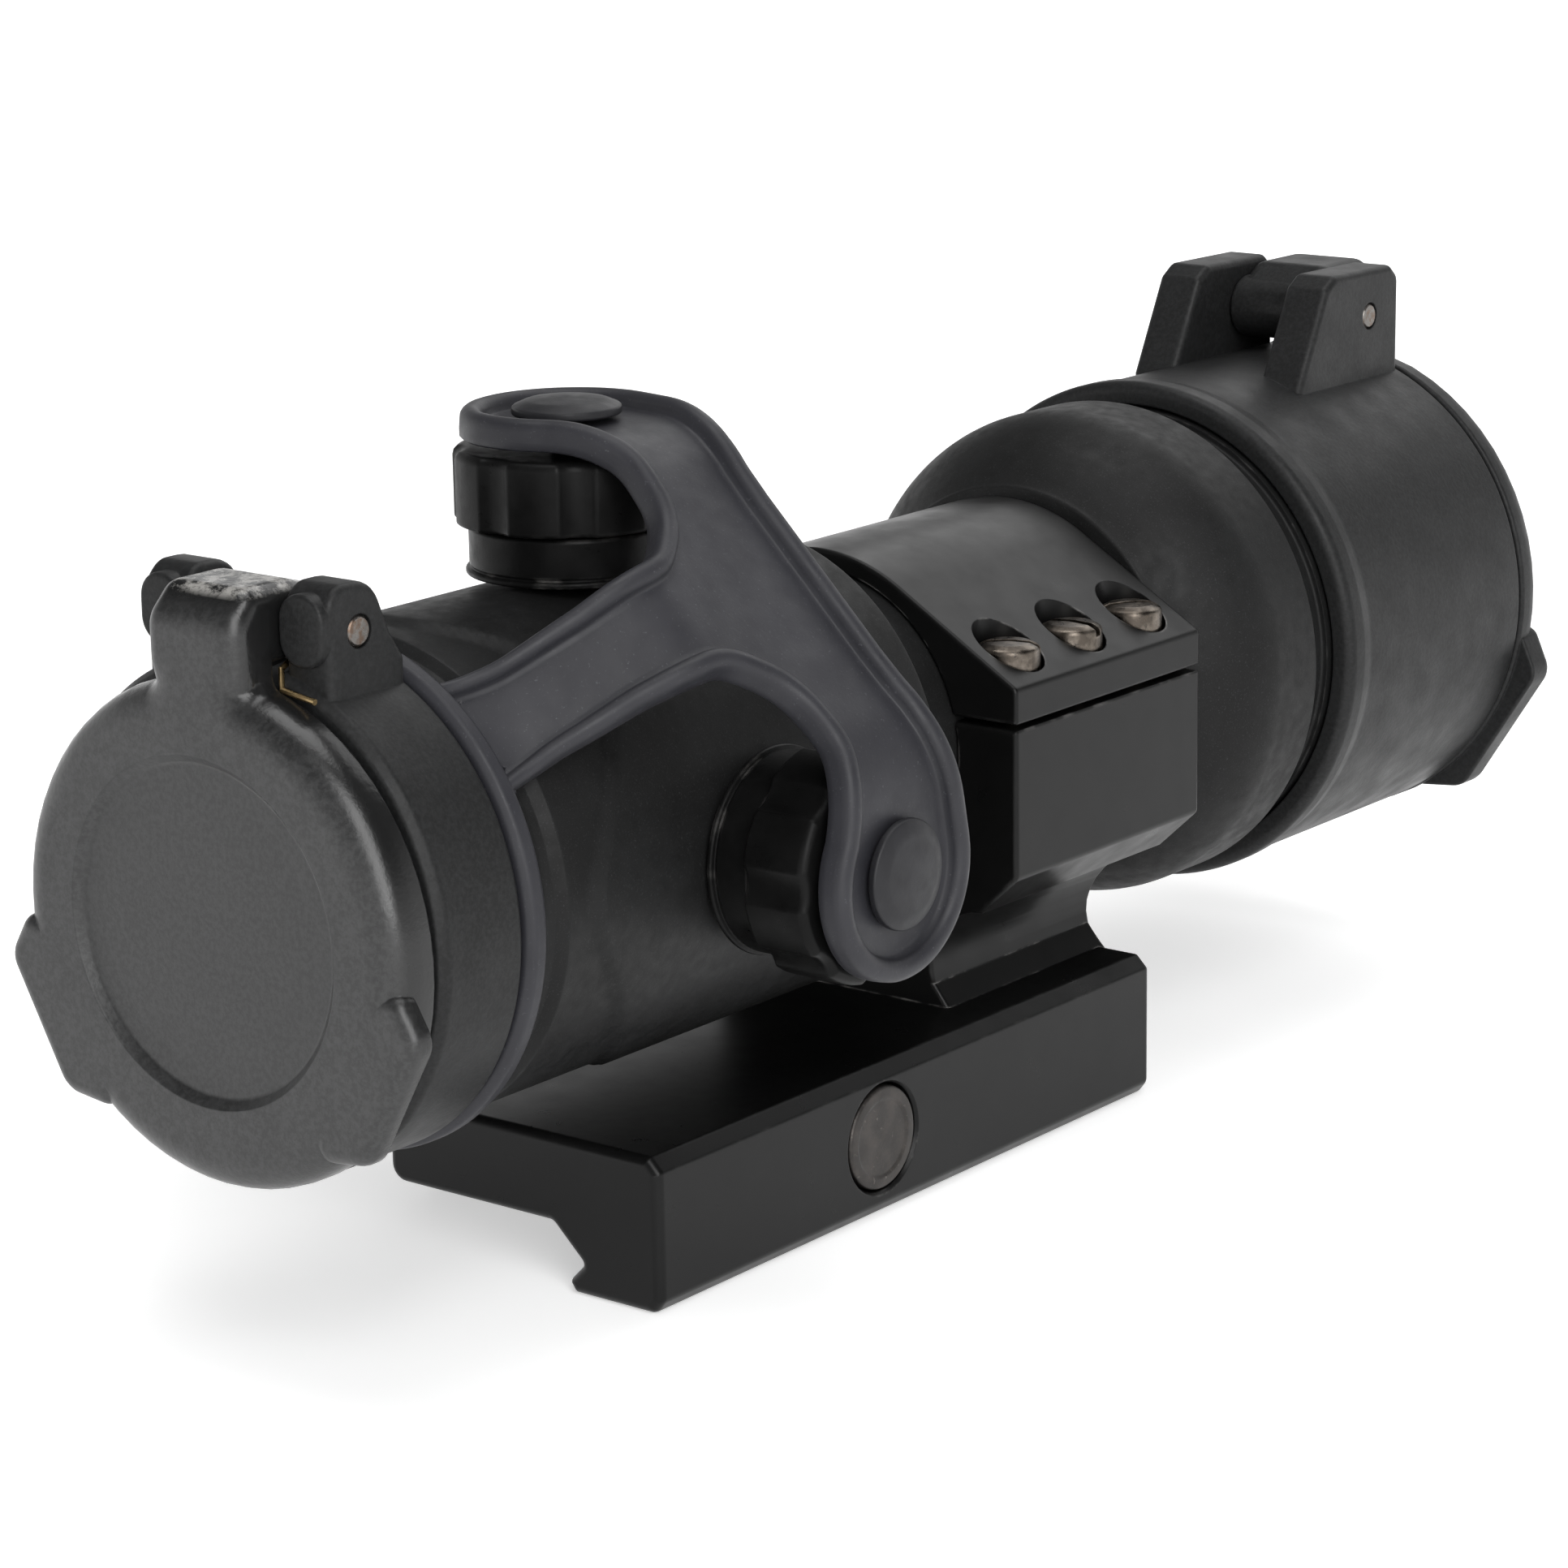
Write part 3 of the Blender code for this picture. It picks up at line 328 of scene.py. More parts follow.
class Paint:
    """A node material that is built up in steps."""

    def __init__(self, name, base, metallic=0.0, sheen=0.5):
        self.material = bpy.data.materials.new(name)
        self.material.use_nodes = True
        self.tree = self.material.node_tree
        self.shader = self.tree.nodes["Principled BSDF"]
        self.place = self.add("TexCoord").outputs["Object"]
        self.colour = (*base, 1)
        self.normal = None
        self.set("Metallic", metallic)
        self.set("Specular IOR Level", sheen)

    def set(self, name, value, node=None):
        """Sets an input, or links it where the value is another node's output."""
        socket = (node or self.shader).inputs[name]
        if isinstance(value, bpy.types.NodeSocket):
            self.tree.links.new(value, socket)
        else:
            socket.default_value = value

    def add(self, kind, inputs=None, **settings):
        node = self.tree.nodes.new("ShaderNode" + kind)
        for name, value in settings.items():
            setattr(node, name, value)
        for name, value in (inputs or {}).items():
            self.set(name, value, node)
        return node

    def noise(self, size, detail, rough=0.55, stretch=None):
        """Noise with features of that size in millimetres."""
        source = self.place
        if stretch:
            source = self.add("Mapping", {"Vector": source, "Scale": stretch}).outputs["Vector"]
        return self.add("TexNoise", {
            "Vector": source, "Scale": 1000 / size, "Detail": detail, "Roughness": rough,
        }).outputs["Fac"]

    def spread(self, source, low, high, to_low, to_high):
        return self.add("MapRange", {
            "Value": source, "From Min": low, "From Max": high, "To Min": to_low, "To Max": to_high,
        }).outputs["Result"]

    def times(self, a, b):
        return self.add("Math", {0: a, 1: b}, operation="MULTIPLY").outputs[0]

    def tint(self, mask, colour):
        """Lays a colour over what is there, where the mask is high."""
        mix = self.add("Mix", data_type="RGBA")
        for number, value in ((0, mask), (6, self.colour), (7, (*colour, 1))):
            self.set(number, value, mix)
        self.colour = mix.outputs[2]

    def mottle(self, size, colour, amount, low=0.35, high=0.65, detail=3, rough=0.55):
        """Lays a colour on in patches of that size, where the noise is over the low value."""
        self.tint(self.spread(self.noise(size, detail, rough), low, high, 0, amount), colour)

    def gloss(self, size, low, high, detail=4):
        """Roughness that wanders between two values, in patches of that size."""
        self.set("Roughness", self.spread(self.noise(size, detail), 0.3, 0.7, low, high))

    def edge(self, radius):
        """Softens sharp edges by that radius in millimetres."""
        self.normal = self.add("Bevel", {"Radius": radius * MM}, samples=4).outputs["Normal"]

    def grain(self, size, depth, strength, detail=3, rough=0.55, stretch=None):
        """Fine relief: its features' size and its depth are in millimetres."""
        bump = self.add("Bump", {
            "Distance": depth * MM, "Strength": strength,
            "Height": self.noise(size, detail, rough, stretch),
        })
        if self.normal:
            self.set("Normal", self.normal, bump)
        self.normal = bump.outputs["Normal"]

    def worn(self, colour, amount, width=0.3):
        """Rubs sharp edges through to a lighter colour, in patches."""
        soft = self.add("Bevel", {"Radius": width * MM}, samples=4).outputs["Normal"]
        flat = self.add("NewGeometry").outputs["Normal"]
        turn = self.add("VectorMath", {0: soft, 1: flat}, operation="DOT_PRODUCT")
        edges = self.spread(turn.outputs["Value"], 0.985, 0.93, 0, amount)
        patches = self.spread(self.noise(2.6, 5), 0.50, 0.66, 0, 1)
        self.tint(self.times(edges, patches), colour)

    def done(self):
        self.set("Base Color", self.colour)
        if self.normal:
            self.set("Normal", self.normal)
        return self.material


def grey(level, cool=0.0):
    return (level * (1 - cool), level, level * (1 + cool))


def anodised_body():
    """Bead-blasted and anodised: fine pale speckle over near black."""
    paint = Paint("anodised_body", grey(0.008), sheen=0.16)
    paint.edge(0.12)
    paint.mottle(9, grey(0.014, 0.02), 0.6)
    paint.mottle(0.16, grey(0.045, 0.03), 0.5, 0.60, 0.72, detail=2, rough=0.7)
    paint.gloss(1.4, 0.42, 0.58)
    paint.grain(0.22, 0.012, 0.8, rough=0.7)
    paint.worn(grey(0.10, -0.02), 0.5)
    return paint.done()


def anodised_mount():
    """Smooth satin black, with faint tool lines and rubbed corners."""
    paint = Paint("anodised_mount", grey(0.0035), sheen=0.19)
    paint.edge(0.16)
    paint.mottle(14, grey(0.006, 0.01), 0.5)
    paint.gloss(3.0, 0.27, 0.37, detail=5)
    paint.grain(0.6, 0.0022, 0.7, detail=2, rough=0.5, stretch=(1.0, 0.12, 1.0))
    paint.worn(grey(0.20, -0.03), 0.8)
    return paint.done()


def cap_metal():
    """Handled adjuster caps: glossier, with rubbed ridges."""
    paint = Paint("cap_metal", grey(0.004), sheen=0.10)
    paint.edge(0.18)
    paint.mottle(5, grey(0.009), 0.5, 0.4, 0.65, detail=4)
    paint.gloss(1.8, 0.26, 0.46, detail=5)
    paint.grain(0.35, 0.012, 0.8, rough=0.7)
    paint.worn(grey(0.14, -0.04), 0.7)
    return paint.done()


def cover_plastic():
    """Moulded covers with a fine leather grain, and gloss where hands have rubbed it."""
    paint = Paint("cover_plastic", grey(0.011, 0.01), sheen=0.18)
    paint.mottle(12, grey(0.015, 0.02), 0.5)
    paint.mottle(0.40, grey(0.024, 0.02), 0.6, 0.40, 0.66, rough=0.7)
    paint.gloss(4.0, 0.36, 0.52, detail=5)
    paint.edge(0.2)
    paint.grain(0.42, 0.026, 0.8, rough=0.6)
    return paint.done()


def lid_plastic():
    """Grained and lighter on the flat face, glossy on the handled roll; the darker colour of the
    roll and sides is painted shade.

    The top of the hinge's knuckle is scraped bright.
    """
    paint = Paint("lid_plastic", grey(0.006, 0.01))
    split = paint.add("SeparateXYZ", {0: paint.place})
    # Painted shade: the roll and sides stay darker than the flat face, standing for the dark
    # surroundings that they reflect.
    face = paint.spread(split.outputs["Y"], -0.0650, -0.0664, 0, 1)
    paint.tint(face, grey(0.016, 0.01))
    paint.mottle(12, grey(0.016, 0.01), 0.3)
    grain = paint.spread(paint.noise(0.50, 3, 0.7), 0.40, 0.62, 0, 0.6)
    paint.tint(paint.times(face, grain), grey(0.040, 0.01))
    high = paint.spread(split.outputs["Z"], 0.0571, 0.0576, 0, 1)
    patch = paint.spread(paint.noise(1.6, 6, 0.75), 0.44, 0.58, 0, 0.85)
    paint.tint(paint.times(high, patch), (0.36, 0.35, 0.33))
    rough = paint.spread(face, 0, 1, 0.24, 0.38)
    streaks = paint.spread(paint.noise(4.0, 5), 0.3, 0.7, 0.85, 1.2)
    paint.set("Roughness", paint.times(rough, streaks))
    paint.edge(0.2)
    paint.grain(0.50, 0.028, 0.9, rough=0.6)
    return paint.done()


def strap_rubber():
    """Soft blue-black rubber with a dusty bloom and pale specks."""
    paint = Paint("strap_rubber", (0.020, 0.020, 0.024), sheen=0.30)
    paint.mottle(7, (0.029, 0.029, 0.034), 0.6, detail=4)
    paint.mottle(0.28, (0.09, 0.09, 0.10), 0.4, 0.64, 0.74, detail=2, rough=0.7)
    specks = paint.add("TexVoronoi", {"Vector": paint.place, "Scale": 1000 / 1.6})
    paint.tint(paint.spread(specks.outputs["Distance"], 0.0, 0.055, 0.4, 0), (0.16, 0.16, 0.17))
    paint.gloss(2.4, 0.40, 0.56)
    paint.grain(0.30, 0.014, 0.7, rough=0.6)
    return paint.done()


def button_rubber():
    paint = Paint("button_rubber", (0.012, 0.012, 0.014), sheen=0.30)
    paint.mottle(3, (0.020, 0.020, 0.023), 0.5, 0.4, 0.65, detail=4)
    paint.gloss(1.6, 0.40, 0.56)
    paint.grain(0.25, 0.014, 0.7, rough=0.6)
    return paint.done()


def screw_steel():
    """Bronzed screws, rubbed brighter in patches."""
    paint = Paint("screw_steel", (0.085, 0.072, 0.06), metallic=1.0)
    paint.edge(0.12)
    paint.mottle(1.3, (0.22, 0.19, 0.16), 0.8, 0.42, 0.66, detail=5)
    paint.mottle(0.5, (0.05, 0.045, 0.04), 0.8, 0.58, 0.68, detail=4)
    paint.gloss(0.7, 0.22, 0.42)
    paint.grain(0.3, 0.012, 0.8, rough=0.6, stretch=(1, 1, 4))
    return paint.done()


def bolt_steel():
    """Blackened bolt, with the marks of turning and light scratches."""
    paint = Paint("bolt_steel", (0.045, 0.042, 0.040), metallic=0.85)
    paint.edge(0.15)
    paint.mottle(1.6, (0.085, 0.076, 0.07), 0.7, 0.44, 0.66, detail=6, rough=0.7)
    paint.mottle(0.5, (0.18, 0.165, 0.15), 0.5, 0.64, 0.72, detail=4)
    paint.gloss(0.8, 0.30, 0.55, detail=5)
    paint.grain(0.4, 0.012, 0.8, detail=4, rough=0.7, stretch=(1, 1, 3))
    return paint.done()


def pin_steel():
    paint = Paint("pin_steel", (0.16, 0.15, 0.14), metallic=0.9)
    paint.mottle(0.6, (0.12, 0.075, 0.05), 0.8, 0.45, 0.62, detail=4)
    paint.gloss(0.5, 0.2, 0.4)
    paint.grain(0.3, 0.008, 0.7)
    return paint.done()


def brass():
    paint = Paint("spring_wire", (0.55, 0.40, 0.20), metallic=1.0)
    paint.mottle(1.0, (0.34, 0.24, 0.12), 0.8, 0.45, 0.62, detail=4)
    paint.gloss(0.6, 0.22, 0.42)
    paint.grain(0.3, 0.006, 0.7)
    return paint.done()


def inner_black():
    """Blasted and blackened inside walls."""
    paint = Paint("inner_black", grey(0.006))
    paint.mottle(4, grey(0.012), 0.5, 0.4, 0.65, detail=4)
    paint.gloss(1.2, 0.66, 0.84)
    paint.grain(0.25, 0.02, 0.9, rough=0.7)
    return paint.done()


def cell_can():
    paint = Paint("battery_case", (0.56, 0.56, 0.57), metallic=1.0)
    paint.mottle(3, (0.40, 0.40, 0.41), 0.6, 0.42, 0.62, detail=4)
    paint.gloss(1.0, 0.22, 0.40)
    paint.grain(0.5, 0.006, 0.7, rough=0.5, stretch=(0.1, 1, 1))
    return paint.done()


def lens_glass():
    """Coated glass: clear, with a ruby tint in the reflection and a little dust."""
    paint = Paint("lens_glass", (0.93, 0.82, 0.80))
    paint.mottle(0.5, (0.8, 0.8, 0.82), 0.3, 0.66, 0.76, detail=4)
    paint.gloss(2.5, 0.01, 0.05, detail=5)
    paint.grain(6, 0.003, 0.2, detail=2)
    paint.set("Transmission Weight", 0.92)
    paint.set("IOR", 1.5)
    paint.set("Coat Weight", 0.7)
    paint.set("Coat Roughness", 0.03)
    paint.set("Coat Tint", (0.9, 0.35, 0.30, 1))
    return paint.done()


BODY = anodised_body()
MOUNT = anodised_mount()
CAP = cap_metal()
COVER = cover_plastic()
LID = lid_plastic()
STRAP = strap_rubber()
BUTTON = button_rubber()
SCREW = screw_steel()
BOLT_STEEL = bolt_steel()
PIN = pin_steel()
BRASS = brass()
INNER = inner_black()
CELL = cell_can()
GLASS = lens_glass()


# ---------------------------------------------------------------- mount


def mirrored(right):
    """The right half of an outline, and the same corners on the left."""
    return right + [(-x, z, rounding) for x, z, rounding in reversed(right)]


def ring_bore():
    return bar("ring_bore", RING_BORE_R, RING_YS[0] - 2.3, RING_YS[1] + 2.6, "Y", AXIS, 128)


def make_base():
    """The deck, with the fixed hook on its right, and the ring's lower half."""
    section = [
        (-10.4, 0, 1.6), (7.6, 0, 0.9), (10.9, -3.1, 0.4), (9.2, -4.8, 0.5),
        (9.9, -5.8, 0.6), (18.4, -5.8, 1.0), (19.3, -4.6, 0.9), (19.3, 6.4, 0.4),
        (18.1, 7.6, 0.4), (-9.8, 7.6, 0.5), (-10.4, 7.0, 0.4),
    ]
    base = slab("mount_base_piece", section, -BASE_HALF_LENGTH, BASE_HALF_LENGTH, "Y",
                0.85, 0.85, 5)
    scoop = arc((17.5, 11.5), 5.4, 200, 90, 10)
    right = [(14.2, 7.3, 0), (12.4, 9.6, 0), *scoop, (RING_X, 20.6, 0.8), (RING_X, 34.0, 0.25)]
    fuse(base, slab("saddle", mirrored(right), *RING_YS, "Y", 0.45, 0.45))
    cutters = [
        ring_bore(),
        bar("front_scoop", 8.6, -30, 30, "X", (0, 44.2, 9.4), 96),
        bar("bolt_hole", 2.7, -30, 30, "X", BOLT),
        lathe("bolt_pocket", [(14.3, 0, 0), (14.3, 4.85, 0), (19.0, 4.85, 0), (19.6, 5.3, 0),
                              (25, 5.3, 0), (25, 0, 0)], "X", BOLT, 64),
    ]
    cutters += [bar("thread", SHANK_R, 25.4, 40, "Z", (x, y, 0), 24) for x, y in SCREWS]
    carve(base, *cutters)
    place(base, MOUNT, "mount", "anodised_mount", "mount_base")


def make_ring_top():
    """An arch whose flat flanks touch its round crown."""
    slope = 31
    crown_r = 16.9
    edge = crown_r / math.cos(math.radians(slope)) - RING_X * math.tan(math.radians(slope))
    right = [(RING_X, 3.6, 0.3), (RING_X, edge, 0.7)]
    right += arc((0, 0), crown_r, 90 - slope, 90, 14)
    ring = slab("ring_top_piece", up(mirrored(right)), *RING_YS, "Y", 0.4, 0.4)
    cutters = [ring_bore()]
    for x, y in SCREWS:
        cutters.append(bar("shank", SHANK_R, 0, 8, "Z", (x, y, AXIS_Z), 24))
        cutters.append(bar("sink", 3.2, 6.2, 16, "Z", (x, y, AXIS_Z), 40))
    carve(ring, *cutters)
    place(ring, MOUNT, "mount", "anodised_mount", "ring_top")


def make_ring_screws():
    for number, (x, y) in enumerate(SCREWS, 1):
        head = lathe("ring_screw_%d_piece" % number, [
            (-5.2, 0, 0), (-5.2, 1.3, 0.2), (6.5, 1.3, 0), (6.5, 2.85, 0.1),
            (9.3, 2.85, 0.5), (9.7, 2.0, 0.6), (9.85, 0, 0),
        ], "Z", (x, y, AXIS_Z), 48)
        turn = math.radians(52 - 23 * (number % 3))  # no two neighbours' slots line up
        slot = brick("slot", (-4, -0.4, 8.7), (4, 0.4, 12))
        slot.data.transform(Matrix.Translation(Vector((x, y, AXIS_Z)) * MM)
                            @ Matrix.Rotation(turn, 4, "Z"))
        carve(head, slot)
        place(head, SCREW, "mount", "screw_steel", "ring_screw_%d" % number)


def make_clamp():
    """The cross bolt, the jaw that it draws in on the left, and its knurled nut."""
    bolt = lathe("cross_bolt_piece", [
        (-26.9, 0, 0), (-26.9, 2.3, 0.4), (14.7, 2.3, 0), (14.7, 4.6, 0.2),
        (19.25, 4.6, 0.35), (19.3, 3.6, 0.2), (19.15, 3.3, 0.1), (19.25, 0, 0),
    ], "X", BOLT, 72)
    place(bolt, BOLT_STEEL, "mount", "bolt_steel", "cross_bolt")
    section = [
        (-10.7, 6.6, 0.4), (-10.7, 0.6, 0.2), (-11.0, -0.4, 0.2), (-11.0, -3.4, 0.3),
        (-9.4, -5.0, 0.3), (-9.9, -5.8, 0.3), (-16.8, -5.8, 0.6), (-18.0, -4.6, 0.6),
        (-18.0, 5.4, 0.6), (-16.8, 6.6, 0.6),
    ]
    jaw = slab("clamp_jaw_piece", section, -21.5, 10.5, "Y", 0.4, 0.4)
    carve(jaw, bar("jaw_hole", 2.7, -30, 0, "X", BOLT))
    place(jaw, MOUNT, "jaw", "anodised_mount", "clamp_jaw")
    knurls, crest_r, valley_r = 24, 6.2, 5.7
    corners = []
    for k in range(knurls * 2):
        angle = math.pi * k / knurls
        corners.append((*polar(crest_r if k % 2 else valley_r, angle, BOLT[1:]), 0.3))
    knob = slab("clamp_knob_piece", corners, -25.8, -18.25, "X", 0.6, 0.4, step=40)
    groove = lathe("knob_groove", [(-20.4, 5.2, 0.2), (-20.4, 9, 0), (-19.6, 9, 0),
                                   (-19.6, 5.2, 0.2)], "X", BOLT, 64)
    slot = brick("knob_slot", (-40, BOLT[1] - 9, 0.5), (-24.3, BOLT[1] + 9, 1.9))
    carve(knob, bar("knob_bore", 2.6, -40, -10, "X", BOLT), groove, slot)
    place(knob, MOUNT, "knob", "anodised_mount", "clamp_knob")


# ---------------------------------------------------------------- optical body


def boss(x, y, z):
    """How far the housing stands proud round its three adjusters, from 0 to 1."""
    around = math.degrees(math.atan2(z, x))
    off = min(abs(around - 90), abs(around), abs(abs(around) - 180))
    edge = TURRET_Y - 23.9 + 0.235 * math.sqrt(off * off + 72)
    return ease((y - edge) / 0.7)


def make_housing():
    """One turned tube, from the ocular end to the flare behind the objective bell."""
    shell_start = -46.6
    corners = [(-61.6, 18.4, 0.3), (-52.6, 18.4, 0.1), (-52.6, 19.1, 0.2), (-48.1, 19.1, 0.3),
               (-47.4, 19.3, 0.3), (shell_start, SHELL_R, 0.3)]
    corners += [(shell_start + 0.6 * k, SHELL_R, 0) for k in range(1, 80)]
    corners += [
        (1.6, SHELL_R, 0.6), (2.6, 19.0, 0.4), (2.6, TUBE_R, 0.6), (41.2, TUBE_R, 0.4),
        (41.4, 17.6, 0.5),
    ]
    for k in range(15):
        left = 1 - k / 14
        corners.append((51.5 - 9.6 * left, BELL_R - 5.5 * left**2, 0))
    corners += [
        (57.7, BELL_R, 0.25), (57.7, 20.6, 0), (51.5, 20.6, 0),
        (51.5, 17.3, 0), (46.6, 17.3, 0), (45.0, 13.4, 0), (-1.0, 13.4, 0), (-1.0, 17.3, 0),
        (-46.0, 17.3, 0), (-46.0, 15.0, 0), (-50.0, 15.0, 0), (-50.0, 17.0, 0),
        (-61.6, 17.0, 0),
    ]
    body = lathe("sight_housing_piece", corners, steps=192)
    for vert in body.data.vertices:
        x, y, z = vert.co.x / MM, vert.co.y / MM, vert.co.z / MM - AXIS_Z
        reach = math.hypot(x, z)
        if reach > SHELL_R - 0.6 and y < 1.9:
            scale = (reach + 0.45 * boss(x, y, z)) / reach
            vert.co.x *= scale
            vert.co.z = (AXIS_Z + z * scale) * MM
    cutters = []
    for axis, side, hole_r in (("Z", 1, 5.2), ("X", 1, 5.2), ("X", -1, 6.4)):
        cutters.append(bar("hole", hole_r, *sorted((side * 8, side * 30)), axis, TURRET, 48))
        cutters.append(bar("seat", 9.3, *sorted((side * 20.75, side * 23)), axis, TURRET, 72))
    carve(body, *cutters)
    place(body, BODY, "mount", "anodised_body", "sight_housing")


def make_bell():
    bell = lathe("objective_bell_piece", [
        (53.7, 20.3, 0), (57.8, 20.3, 0), (57.8, 21.5, 0.1),
        (61.6, 21.5, 0.3), (61.6, 22.1, 0), (94.6, 22.1, 0.3),
        (94.6, 20.6, 0.3), (84.0, 20.6, 0), (84.0, 18.6, 0), (53.7, 18.6, 0),
    ], steps=160)
    place(bell, BODY, "mount", "anodised_body", "objective_bell")


def make_glass():
    window = lathe("ocular_window_piece", [(-57.6, 0, 0), (-57.6, 16.7, 0.3), (-55.2, 16.7, 0.3),
                                           (-55.2, 0, 0)], steps=96)
    place(window, GLASS, "mount", "lens_glass", "ocular_window")
    ring = lathe("ocular_retainer_piece", [
        (-61.2, 15.4, 0.2), (-61.2, 16.7, 0.1), (-57.9, 16.7, 0), (-57.9, 15.2, 0),
        (-59.2, 15.2, 0.1), (-59.5, 15.5, 0.1), (-59.8, 15.2, 0.1), (-60.9, 15.2, 0.1),
    ], steps=96)
    carve(ring, brick("slot", (-18, -62, AXIS_Z - 0.8), (18, -60.2, AXIS_Z + 0.8)))
    place(ring, INNER, "mount", "inner_black", "ocular_retainer")
    crown, bend = 88.6, 0.0057  # the domed face falls away with the radius squared
    front = [(crown - bend * r * r, r, 0) for r in range(0, 20, 2)]
    front += [(86.2, 20.3, 0.2), (84.3, 20.3, 0.2), (84.3, 0, 0)]
    lens = lathe("objective_lens_piece", front, steps=96)
    place(lens, GLASS, "mount", "lens_glass", "objective_lens")
    ring = lathe("objective_retainer_piece", [
        (89.0, 18.8, 0.2), (89.0, 20.3, 0), (93.0, 20.3, 0.1), (93.0, 19.2, 0.2),
        (92.2, 18.8, 0.2), (91.2, 18.8, 0.1), (90.9, 19.1, 0.1), (90.6, 18.8, 0.1),
    ], steps=96)
    carve(ring, brick("slot", (-22, 92.0, AXIS_Z - 1), (22, 94, AXIS_Z + 1)))
    place(ring, INNER, "mount", "inner_black", "objective_retainer")


# ---------------------------------------------------------------- adjusters


def cap_corners(radius, notches, notch_r, out):
    """A circle with round notches, whose centres lie that far outside it."""
    centre_r = radius + out
    half = math.acos((radius**2 + centre_r**2 - notch_r**2) / (2 * radius * centre_r))
    corners = []
    for k in range(notches):
        middle = 2 * math.pi * k / notches
        centre = Vector(polar(centre_r, middle))
        first = Vector(polar(radius, middle - half))
        last = Vector(polar(radius, middle + half))
        corners.append((*first, 0.7))
        for j in range(1, 6):
            chord = first.lerp(last, j / 6) - centre
            corners.append((*(centre + chord.normalized() * notch_r), 0))
        corners.append((*last, 0.7))
        for j in range(1, 5):
            angle = middle + half + (2 * math.pi / notches - 2 * half) * j / 5
            corners.append((*polar(radius, angle), 0))
    return corners


def make_adjusters():
    """The two alike: a collar, its scalloped cap, and the stud that holds the strap's pad."""
    cap_r, cap_low, cap_high = 9.6, 25.2, 31.4
    outline = cap_corners(cap_r, 8, 3.0, 2.45)
    for name, axis in (("elevation", "Z"), ("windage", "X")):
        collar = lathe(name + "_collar_piece", [
            (20.9, 3.4, 0), (20.9, 8.7, 0.15), (21.35, 8.7, 0.2), (21.45, 8.2, 0.1),
            (21.7, 8.4, 0.15), (24.9, 8.4, 0.3), (24.9, 6.4, 0), (28.9, 6.4, 0.3),
            (28.9, 3.4, 0),
        ], axis, TURRET, 96)
        place(collar, CAP, "mount", "anodised_body", name + "_collar")
        across, upward, start = (0, TURRET_Y, AXIS_Z) if axis == "Z" else (TURRET_Y, AXIS_Z, 0)
        points = [(a + across, b + upward, r) for a, b, r in outline]
        cap = slab(name + "_cap_piece", points, start + cap_low, start + cap_high, axis, 0.35, 0.8)
        hollow = lathe("hollow", [(20, 0, 0), (20, 6.8, 0), (29.7, 6.8, 0), (29.7, 1.9, 0),
                                  (35, 1.9, 0), (35, 0, 0)], axis, TURRET, 64)
        carve(cap, hollow)
        place(cap, CAP, name + "_cover", "anodised_body", name + "_cap")
        button = lathe(name + "_button_piece", [
            (29.2, 0, 0), (29.2, 3.0, 0.2), (29.8, 3.0, 0), (29.8, 1.5, 0), (33.9, 1.5, 0),
            (33.9, 4.6, 0.25), (34.6, 4.55, 0.3), (35.1, 3.4, 2.0), (35.45, 0, 0),
        ], axis, TURRET, 72)
        place(button, BUTTON, name + "_stud", "strap_rubber", name + "_button")


def make_switch():
    """On the left: a ribbed rotary switch, with the battery's cap in its middle."""
    stem = lathe("switch_stem_piece", [
        (-20.9, 6.2, 0), (-20.9, 8.8, 0.15), (-24.3, 8.8, 0.3), (-24.3, 7.4, 0),
        (-33.6, 7.4, 0.2), (-33.6, 6.2, 0),
    ], "X", TURRET, 96)
    place(stem, CAP, "mount", "anodised_body", "switch_stem")
    ribs, crest_r, valley_r = 20, 10.6, 9.9
    corners = []
    for k in range(ribs):
        for turn, reach, rounding in ((-0.416, valley_r, 0.5), (-0.208, crest_r, 0.4),
                                      (0.208, crest_r, 0.4), (0.416, valley_r, 0.5)):
            angle = 2 * math.pi * (k + turn) / ribs
            corners.append((*polar(reach, angle, TURRET[1:]), rounding))
    drum = slab("brightness_switch_piece", corners, -33.4, -24.9, "X", 0.6, 0.4, step=25)
    band = lathe("band", [(-26.9, 9.7, 0.1), (-26.9, 13, 0), (-26.2, 13, 0), (-26.2, 9.7, 0.1)],
                 "X", TURRET, 96)
    dot = bar("dot", 0.7, 10.2, 13, "Z", (-29.5, TURRET_Y, AXIS_Z), 20)
    carve(drum, bar("drum_bore", 7.7, -40, -20, "X", TURRET, 72), band, dot)
    place(drum, CAP, "switch", "anodised_body", "brightness_switch")
    cap = lathe("battery_cap_piece", [
        (-38.0, 0, 0), (-38.0, 7.6, 0.6), (-37.2, 8.8, 0.6), (-34.8, 8.8, 0.3),
        (-34.8, 5.9, 0), (-32.2, 5.9, 0.3), (-32.2, 0, 0),
    ], "X", TURRET, 96)
    slot = brick("coin_slot", (-40, TURRET_Y - 6.2, AXIS_Z - 0.8),
                 (-36.8, TURRET_Y + 6.2, AXIS_Z + 0.8))
    carve(cap, slot)
    place(cap, CAP, "battery_cover", "anodised_body", "battery_cap")
    seal = lathe("battery_cap_seal_piece", [(-34.5, 6.3, 0.2), (-34.5, 7.3, 0.28),
                                            (-33.9, 7.3, 0.28), (-33.9, 6.3, 0.2)],
                 "X", TURRET, 72)
    place(seal, BUTTON, "battery_seal", "strap_rubber", "battery_cap_seal")


# ---------------------------------------------------------------- flip covers


def lid_corners(radius, drop, neck_x, neck_top):
    """A disc whose middle lies a drop under the tube's axis, with a neck on top."""
    right = [(neck_x, neck_top, 3.4), (neck_x, math.sqrt(radius**2 - neck_x**2) - drop, 1.5)]
    return mirrored(right + arc((0, -drop), radius, 66, -90, 27))


